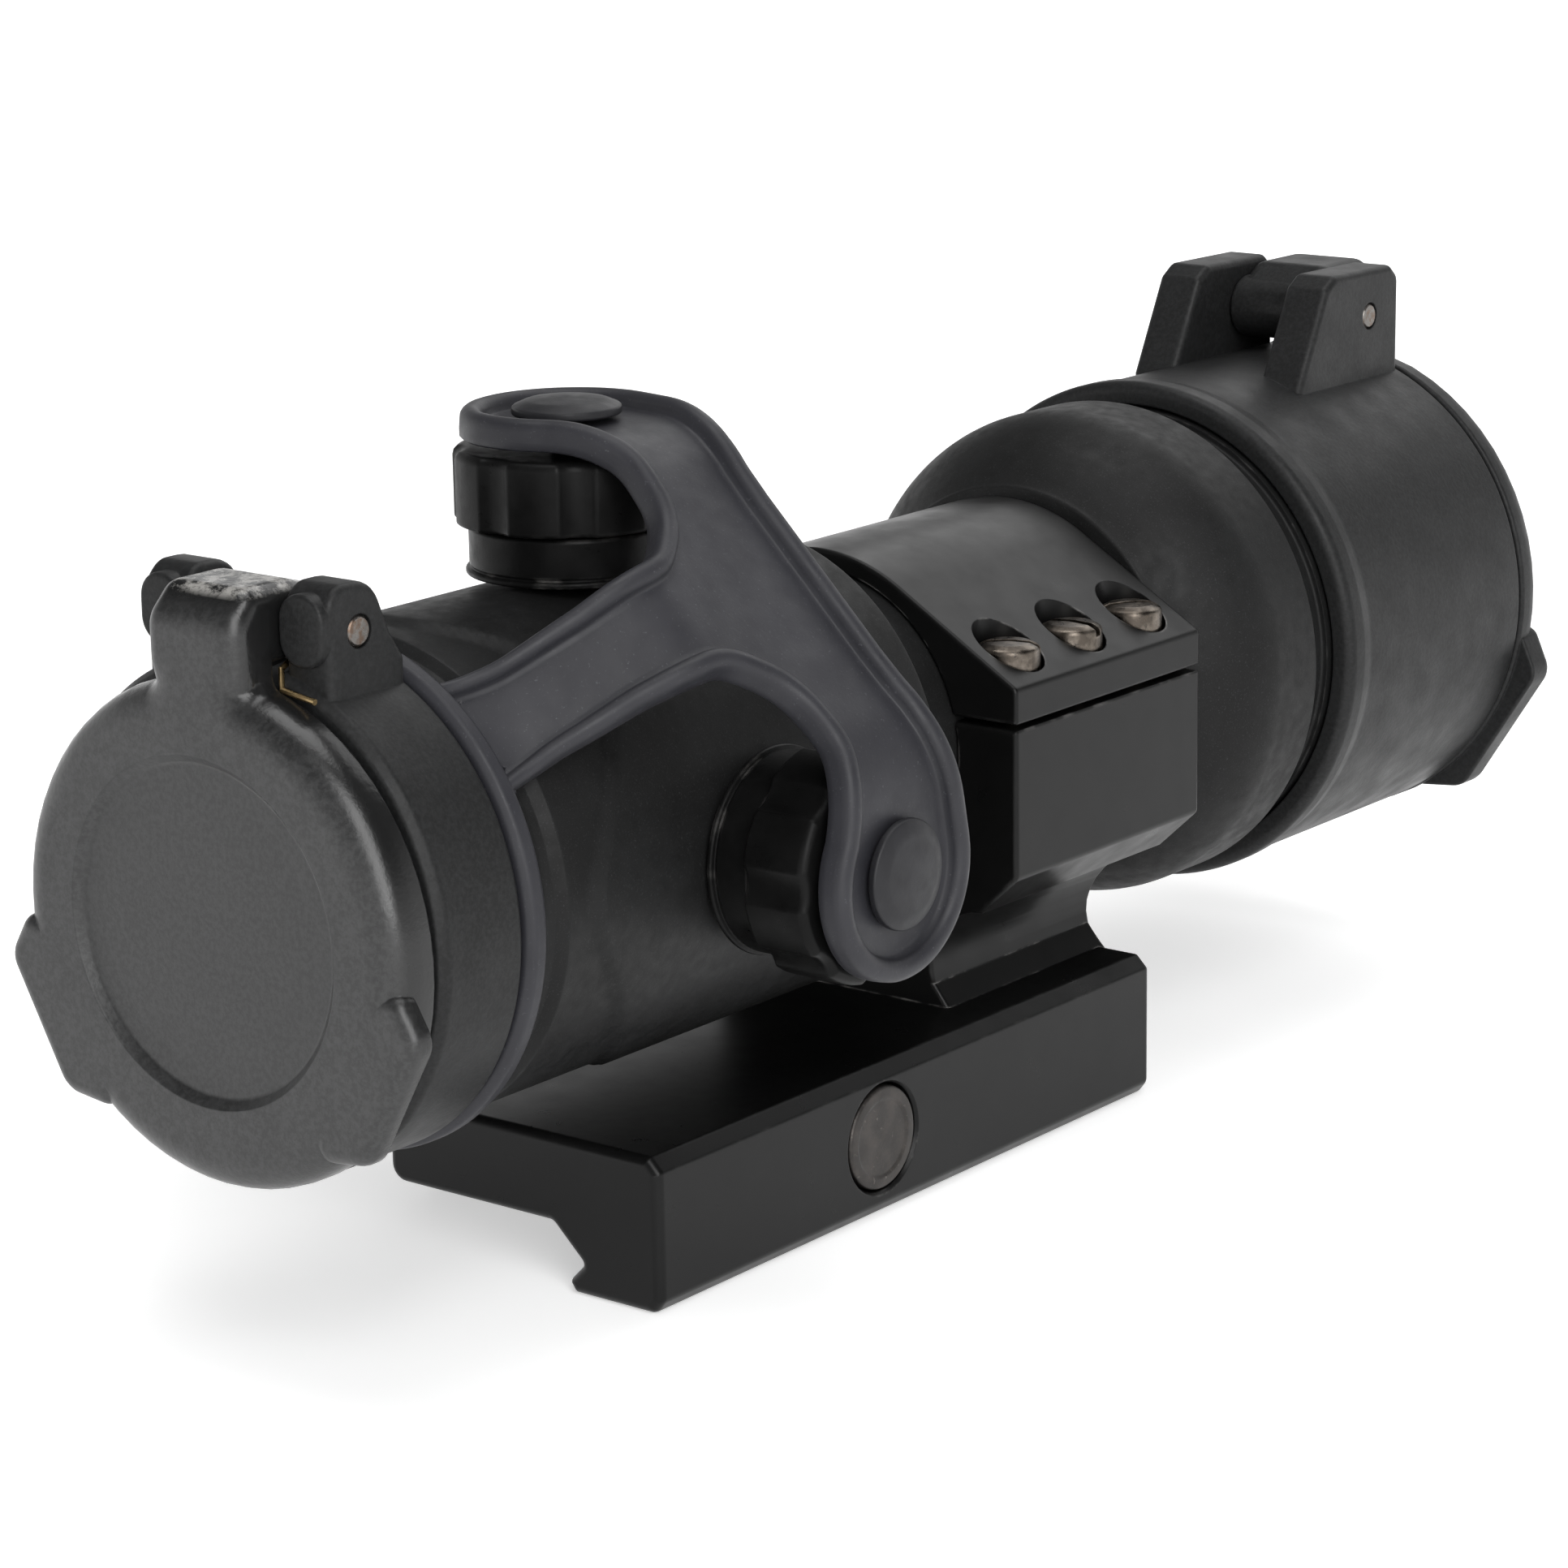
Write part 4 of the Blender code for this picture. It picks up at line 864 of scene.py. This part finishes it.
def tab_corners(radius, tab_r, first, last, side):
    """A finger tab that stands out of the disc between two angles below level."""
    corners = []
    for reach, angle, rounding in (
        (radius * 0.72, first + 4, 0.8), (radius - 0.5, first - 6, 1.5),
        (tab_r, first + 3.5, 2.2), (tab_r, last - 4, 2.6),
        (radius - 0.5, last + 8, 1.5), (radius * 0.72, last - 1, 0.8),
    ):
        across, upward = polar(reach, math.radians(-angle))
        corners.append((side * across, upward, rounding))
    return corners


def shell(name, corners, face, inner, face_round, inner_round, **steps):
    """A slab across the tube, from a lid's outer face to its inner one."""
    rims = (face_round, inner_round) if inner > face else (inner_round, face_round)
    return slab(name, up(corners), *sorted((face, inner)), "Y", *rims, **steps)


def make_lid(name, body, look, pivot, *, radius, drop, face, inner, rise, hollow_r, recess_r,
             tab_r, tab_angles, tab_depth):
    """A rolled disc with a grip tab a side, and a neck of that rise over the hinge's knuckle."""
    forward = 1 if inner > face else -1
    y, z = pivot
    corners = lid_corners(radius, drop, KNUCKLE_HALF + 0.05, z + 1.4)
    lid = shell(name + "_piece", corners, face, inner, 3.1, 0.4, steps=6, step=10)
    # The neck's faces lie just inside the disc's, because faces in one plane would tear.
    profile = [
        (face + forward * 0.8, z - 5.5, 0), (face + forward * 0.06, z - 2.5, 0),
        (face + forward * 0.03, z + rise - 2.4, 2.6),
        (face + forward * 2.4, z + rise, 1.8), (y - forward * 1.2, z + rise, 1.5),
        (y + forward * 1.6, z + 2.6, 0.5), (y, z - 2.6, 0.5),
        (inner - forward * 0.05, z - 3.1, 0.5), (inner - forward * 0.05, z - 5.5, 0),
    ]
    neck = slab("neck", up(profile), -KNUCKLE_HALF, KNUCKLE_HALF, "X", 1.7, 1.7, 6)
    hinge = (0, y, AXIS_Z + z)
    knuckle = lathe("knuckle", [(-KNUCKLE_HALF, 0, 0), (-KNUCKLE_HALF, KNUCKLE_R, 0.5),
                                (KNUCKLE_HALF, KNUCKLE_R, 0.5), (KNUCKLE_HALF, 0, 0)],
                    "X", hinge, 64)
    fuse(lid, neck, knuckle)
    for side in (-1, 1):
        corners = tab_corners(radius, tab_r, *tab_angles, side)
        fuse(lid, shell("tab", corners, face + forward * 0.04, face + forward * tab_depth,
                        1.3, 0.3, steps=5, step=8))
    near, far = sorted((inner + forward * 3, face + forward * 2.0))
    recess = lathe("recess", [
        (face - forward * 3, 0, 0), (face - forward * 3, recess_r + 0.9, 0),
        (face - forward * 0.01, recess_r + 0.9, 0.3), (face + forward * 0.75, recess_r + 0.1, 0.5),
        (face + forward * 0.80, recess_r - 1.8, 1.5), (face + forward * 0.65, 0, 0),
    ], steps=128)
    cutters = [
        recess,
        bar("lid_hollow", hollow_r, near, far, "Y", AXIS, 128),
        bar("pin_hole", 1.15, -20, 20, "X", hinge, 32),
    ]
    if forward > 0:
        cutters.append(bar("spring_room", 2.35, 1.43, 6.5, "X", hinge, 40))
    carve(lid, *cutters)
    place(lid, look, body, "cover_plastic", name)


def make_sleeve(name, profile, bore_r, ear, pivot, room, pad=None):
    """A collar with two ears, and a gap between them that leaves the lid's neck room to turn."""
    sleeve = lathe(name + "_piece", profile, steps=160)
    hinge = (0, pivot[0], AXIS_Z + pivot[1])
    for side in (-1, 1):
        low, high = sorted((side * 5.0, side * 9.8))
        fuse(sleeve, slab("ear", up(ear), low, high, "X", 0.7, 0.7, 4))
        if pad:
            near, far, bottom, top = pad
            oval = [(low + 0.1, bottom, 2.1), (high - 0.1, bottom, 2.1),
                    (high - 0.1, top, 2.1), (low + 0.1, top, 2.1)]
            fuse(sleeve, slab("pad", up(oval), near, far, "Y", 0.4, 0))
    cutters = [
        bar("bore", bore_r, profile[0][0] - 5, profile[-1][0] + 5, "Y", AXIS, 160),
        bar("knuckle_room", KNUCKLE_ROOM_R, -5, 5, "X", hinge, 48),
        brick("neck_room", (-5, room[0], hinge[2] - KNUCKLE_ROOM_R), (5, room[1], hinge[2] + 9)),
        bar("pin_hole", 1.35, -20, 20, "X", hinge, 32),
    ]
    carve(sleeve, *cutters)
    place(sleeve, COVER, "mount", "cover_plastic", name)


def make_pin_and_spring(name, pivot, leg):
    """The hinge's pin, and a wire spring round it whose leg lies on the sleeve."""
    y, z = pivot[0], AXIS_Z + pivot[1]
    pin = lathe(name + "_pin_piece", [
        (-9.8, 0, 0), (-9.8, 1.05, 0.1), (-9.5, 1.3, 0.1), (9.5, 1.3, 0.1), (9.8, 1.05, 0.1),
        (9.8, 0, 0),
    ], "X", (0, y, z), 32)
    place(pin, PIN, "mount", "screw_steel", name + "_pin")
    start, length, coil_r, turn_steps = 1.9, 2.3, 1.75, 24
    count = 3 * turn_steps + 18
    points = []
    for k in range(count + 1):
        across, upward = polar(coil_r, 2 * math.pi * k / turn_steps)
        points.append(Vector((start + length * k / count, y + leg * across, z + upward)))
    points += [Vector((4.5, y - leg * 1.8, z - 2.3)), Vector((4.9, y - leg * 3.6, z - 2.9)),
               Vector((5.6, y - leg * 4.3, z - 4.3)), Vector((9.0, y - leg * 4.3, z - 4.8))]
    spring = coil(name + "_spring_piece", points, 0.25)
    place(spring, BRASS, "mount", "spring_wire", name + "_spring")


def make_covers():
    rear_ear = [
        (-61.3, 16.5, 0), (-61.3, 26.0, 1.4), (-60.0, 27.2, 1.8), (-56.2, 27.2, 3.0),
        (-54.4, 22.8, 3.0), (-52.95, 20.6, 1.0), (-52.95, 16.5, 0),
    ]
    make_sleeve("rear_cover_sleeve", [
        (-62.0, 18.8, 0.2), (-62.0, 20.3, 0.4), (-61.2, 20.9, 0.8), (-52.9, 20.9, 0.5),
        (-52.9, 18.8, 0.2),
    ], 18.8, rear_ear, REAR_PIVOT, room=(-63, -58), pad=(-62.05, -60.5, 20.9, 26.6))
    make_lid("rear_cover_lid", "rear_lid", LID, REAR_PIVOT,
             radius=20.45, drop=0.6, face=-66.7, inner=-62.3, rise=3.6, hollow_r=17.6,
             recess_r=13.2, tab_r=22.9, tab_angles=(10, 48), tab_depth=2.2)
    make_pin_and_spring("rear_cover", REAR_PIVOT, 1)
    front_ear = [
        (94.6, 19.8, 0), (94.6, 31.8, 1.2), (93.2, 33.0, 0.9), (82.6, 33.1, 1.2),
        (80.8, 32.0, 1.0), (76.0, 22.8, 0), (76.0, 19.8, 0),
    ]
    make_sleeve("front_cover_sleeve", [
        (62.0, 22.4, 0.2), (62.0, 24.6, 1.3), (64.4, 24.6, 1.5), (66.0, 24.3, 3.0),
        (94.9, 24.3, 0.5), (94.9, 22.4, 0.2),
    ], 22.4, front_ear, FRONT_PIVOT, room=(89, 96))
    make_lid("front_cover_lid", "front_lid", COVER, FRONT_PIVOT,
             radius=24.4, drop=0, face=99.6, inner=95.2, rise=4.4, hollow_r=21.5,
             recess_r=15.5, tab_r=26.9, tab_angles=(13, 53), tab_depth=3.9)
    make_pin_and_spring("front_cover", FRONT_PIVOT, -1)


# ---------------------------------------------------------------- strap

FLAT = 9.6  # how far each pad's flat part reaches from its adjuster's axis
PAD_H = 33.6  # the strap's middle surface over the pads, from the tube's axis
PAD_R = 8.9
HALF_SPAN = FLAT + (PAD_H - FLAT) / math.sqrt(2)
RING_Y = -51.3
RING_TOP_R = 19.9  # where the stem's middle surface lies on the ring
STEM_HALF = 8


def strap_path(along):
    """The strap's section over the caps: flat, a straight diagonal, flat."""
    diagonal = (PAD_H - FLAT) * math.sqrt(2)
    if along < FLAT:
        return along, PAD_H
    if along < FLAT + diagonal:
        share = (along - FLAT) / diagonal
        return FLAT + (PAD_H - FLAT) * share, PAD_H - (PAD_H - FLAT) * share
    return PAD_H, FLAT - (along - FLAT - diagonal)


def strap_surface(along, y):
    """The path with its bends softened, drawn in towards the tube as it nears the ring."""
    samples = [strap_path(along + step * 0.75) for step in range(-6, 7)]
    x = sum(s[0] for s in samples) / len(samples)
    z = sum(s[1] for s in samples) / len(samples)
    share = ease((y - RING_Y + 0.2) / 18.5)
    scale = share + (1 - share) * RING_TOP_R / math.hypot(x, z)
    return Vector((x * scale, y, AXIS_Z + z * scale))


def strap_point(along, y, depth):
    """A point that far above the strap's middle surface."""
    here = strap_surface(along, y)
    across = strap_surface(along + 0.05, y) - strap_surface(along - 0.05, y)
    down = strap_surface(along, y + 0.05) - strap_surface(along, y - 0.05)
    return (here + across.cross(down).normalized() * depth) * MM


def strap_outline():
    """The flat shape, as (along, Y): a stem, and an arm with a round pad to each cap."""
    pad = arc((HALF_SPAN, TURRET_Y), PAD_R, 102, -118, 40)
    right = [(11.0, -16.2, 30), *pad]
    right += [(14.8, -28.3, 6.0), (9.0, -28.9, 6.0), (5.4, -33.2, 4.5), (5.5, -40.0, 6),
              (6.3, -45.5, 6), (8.9, RING_Y - 0.8, 0)]
    return [p + Vector((HALF_SPAN, 0)) for p in fillet(mirrored(right), step=8)]


def spaced(points, gap):
    """The outline again, anticlockwise, with points at about that gap."""
    points = [Vector(c[:2]) for c in anticlockwise(points)]
    loop = points + points[:1]
    total = sum((b - a).length for a, b in zip(loop, loop[1:]))
    count = round(total / gap)
    made = []
    k = 0
    gone = 0.0
    for j in range(count):
        want = total * j / count
        while gone + (loop[k + 1] - loop[k]).length < want:
            gone += (loop[k + 1] - loop[k]).length
            k += 1
        run = loop[k + 1] - loop[k]
        made.append(loop[k] + run.normalized() * (want - gone))
    return made


def inside(point, loop):
    """Whether a line from the point to the right crosses the loop an odd number of times."""
    found = False
    for a, b in zip(loop, loop[1:] + loop[:1]):
        if (a.y > point.y) != (b.y > point.y):
            if point.x < a.x + (point.y - a.y) / (b.y - a.y) * (b.x - a.x):
                found = not found
    return found


def filled(form, loop, verts, depth, gap):
    """Fills an outline with small triangles."""
    low_x, high_x = min(p.x for p in loop), max(p.x for p in loop)
    low_y, high_y = min(p.y for p in loop), max(p.y for p in loop)
    room = mitre(loop, 0.6)
    grid = []
    for j in range(int((high_y - low_y) / gap) + 1):
        for k in range(int((high_x - low_x) / gap) + 1):
            spot = Vector((low_x + (k + 0.5 * (j % 2)) * gap, low_y + j * gap))
            if inside(spot, room):
                grid.append(spot)
    count = len(loop)
    edges = [(k, (k + 1) % count) for k in range(count)]
    made, _, faces, _, _, _ = delaunay_2d_cdt(loop + grid, edges, [], 1, 1e-5)
    everything = verts + [form.verts.new(strap_point(p.x, p.y, depth)) for p in made[count:]]
    for face in faces:
        if len(set(face)) == 3:
            form.faces.new([everything[k] for k in face])


def strap_whole():
    """The strap in one closed piece, with a round bead along its rim."""
    outline = spaced(strap_outline(), 0.55)
    bead_r = 0.95
    # The edge in section, from the underside round to the top, as (inset, height).
    section = [(0.9, -1.4), (0.2, -1.4), (0.0, -1.2), (0.0, -0.6), (0.05, 0.1)]
    for k in range(1, 9):
        angle = math.radians(180 - 21 * k)
        section.append((0.05 + bead_r + bead_r * math.cos(angle), 0.2 + bead_r * math.sin(angle)))
    section += [(2.0, -0.05), (2.2, -0.2), (2.7, -0.22)]
    form = bmesh.new()
    rows = []
    for depth, height in section:
        loop = mitre(outline, depth)
        rows.append([form.verts.new(strap_point(p.x, p.y, height)) for p in loop])
    skin(form, rows, False)
    for row, (depth, height) in ((rows[0], section[0]), (rows[-1], section[-1])):
        filled(form, mitre(outline, depth), row, height, 1.1)
    return to_object("strap_whole", form)


def make_strap():
    """A stem that keeps still and an arm to each cap, which all keep the whole's normals."""
    whole = strap_whole()
    whole.data.shade_smooth()
    sides = [along_of(face.center / MM) - HALF_SPAN for face in whole.data.polygons]
    verts = whole.data.vertices
    made = []
    for name, low, high in (("strap_stem", -STEM_HALF, STEM_HALF),
                            ("strap_arm_elevation", -2 * HALF_SPAN, -STEM_HALF),
                            ("strap_arm_windage", STEM_HALF, 2 * HALF_SPAN)):
        faces = [face.vertices[:] for face, side in zip(whole.data.polygons, sides)
                 if low < side <= high]
        used = sorted({k for face in faces for k in face})
        number = {k: n for n, k in enumerate(used)}
        mesh = bpy.data.meshes.new(name)
        mesh.from_pydata([verts[k].co for k in used], [],
                         [[number[k] for k in face] for face in faces])
        mesh.shade_smooth()
        mesh.normals_split_custom_set_from_vertices([verts[k].normal for k in used])
        mesh.materials.append(STRAP)
        part = new_object(name, mesh)
        made.append(part)
    bpy.data.objects.remove(whole)
    stem, top_arm, side_arm = made
    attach(stem, "mount")
    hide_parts("cap_strap")
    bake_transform(top_arm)
    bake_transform(side_arm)
    band = lathe("strap_ring", [
        (RING_Y - 1.15, 19.4, 0.2), (RING_Y - 1.15, 20.6, 0.8), (RING_Y - 0.6, 21.3, 0.6),
        (RING_Y + 0.6, 21.3, 0.6), (RING_Y + 1.15, 20.6, 0.8), (RING_Y + 1.15, 19.4, 0.2),
    ], steps=160)
    place(band, STRAP, "mount", "strap_rubber", "cap_strap")


def along_of(point):
    """How far along the strap's path a point lies, judged by its direction round the tube."""
    x, z = point.x, point.z - AXIS_Z
    best = min(range(-14, 70), key=lambda s: direction_gap(s, x, z))
    fine = [best + k * 0.1 for k in range(-10, 11)]
    return min(fine, key=lambda s: direction_gap(s, x, z))


def direction_gap(along, x, z):
    a, b = strap_path(along)
    return abs(math.atan2(b, a) - math.atan2(z, x))


# ---------------------------------------------------------------- carried-over nodes


def paint_nodes():
    """The parts inside keep their CAD shape and take the look of their material."""
    looks = {
        "inner_black": INNER, "spring_wire": BRASS, "lens_glass": GLASS, "battery_case": CELL,
        "screw_steel": SCREW, "anodised_body": BODY, "anodised_mount": MOUNT,
        "cover_plastic": COVER, "strap_rubber": BUTTON, "bolt_steel": BOLT_STEEL,
    }
    slots = {part["node"]: part["material_slot"] for part in frame["record"]["subparts"]}
    for name, node in frame["nodes"].items():
        node.data.materials.clear()
        node.data.materials.append(looks[slots[name]])


# ---------------------------------------------------------------- studio


def make_camera():
    """The photograph's camera. Its place is in metres."""
    eye = (0.24535, -0.30537, 0.12935)
    yaw, pitch, roll = (math.radians(v) for v in (38.24, -14.43, -0.92))
    camera = new_object("camera", bpy.data.cameras.new("camera"))
    camera.matrix_world = (
        Matrix.Translation(eye) @ Matrix.Rotation(yaw, 4, "Z")
        @ Matrix.Rotation(math.pi / 2 + pitch, 4, "X") @ Matrix.Rotation(roll, 4, "Z"))
    camera.data.lens = 105.7
    camera.data.sensor_width = 36
    camera.data.clip_start = 0.01
    camera.data.clip_end = 30
    bpy.context.scene.camera = camera


def softbox(name, where, width, height, power):
    """A flat light that faces the object. Its place and size are in metres."""
    light = bpy.data.lights.new(name, "AREA")
    light.shape = "RECTANGLE"
    light.size = width
    light.size_y = height
    light.energy = power
    made = new_object(name, light)
    made.location = where
    aim = Vector((0, 0, 0.03)) - Vector(where)
    made.rotation_euler = aim.to_track_quat("-Z", "Y").to_euler()


def make_studio():
    """A pale floor that glows with distance, so that it runs into a world pale at the horizon."""
    form = bmesh.new()
    bmesh.ops.create_grid(form, x_segments=8, y_segments=8, size=6)
    floor = to_object("floor", form)
    floor.location.z = cad_box[0][2] - 0.05 * MM
    paint = Paint("floor", grey(0.86))
    paint.mottle(400, (0.88, 0.88, 0.88), 1, 0.3, 0.7, detail=2)
    paint.gloss(200, 0.65, 0.75, detail=2)
    paint.set("Emission Color", (1, 1, 1, 1))
    away = paint.add("VectorMath", {0: paint.place}, operation="LENGTH").outputs["Value"]
    paint.set("Emission Strength", paint.spread(away, 0.30, 0.75, 0.48, 1.0))
    floor.data.materials.append(paint.done())
    world = bpy.data.worlds.new("studio")
    bpy.context.scene.world = world
    world.use_nodes = True
    nodes, links = world.node_tree.nodes, world.node_tree.links
    split = nodes.new("ShaderNodeSeparateXYZ")
    links.new(nodes.new("ShaderNodeTexCoord").outputs["Generated"], split.inputs[0])
    height = nodes.new("ShaderNodeMapRange")
    height.interpolation_type = "SMOOTHSTEP"
    for name, value in (("From Min", 0.10), ("From Max", 0.52), ("To Min", 1.0), ("To Max", 0.1)):
        height.inputs[name].default_value = value
    links.new(split.outputs["Z"], height.inputs["Value"])
    links.new(height.outputs["Result"], nodes["Background"].inputs["Strength"])
    nodes["Background"].inputs["Color"].default_value = (1, 1, 1, 1)
    softbox("top_light", (-0.05, 0.05, 1.10), 0.7, 0.7, 5.0)
    softbox("key_light", (0.78, -0.62, 0.62), 0.55, 1.15, 11.0)
    softbox("back_light", (-0.15, 1.15, 1.0), 1.3, 0.9, 6.0)
    bpy.context.scene.view_settings.view_transform = "Standard"
    bpy.context.scene.view_settings.look = "None"


make_base()
make_ring_top()
make_ring_screws()
make_clamp()
make_housing()
make_bell()
make_glass()
make_adjusters()
make_switch()
make_covers()
make_strap()
paint_nodes()
make_camera()
make_studio()
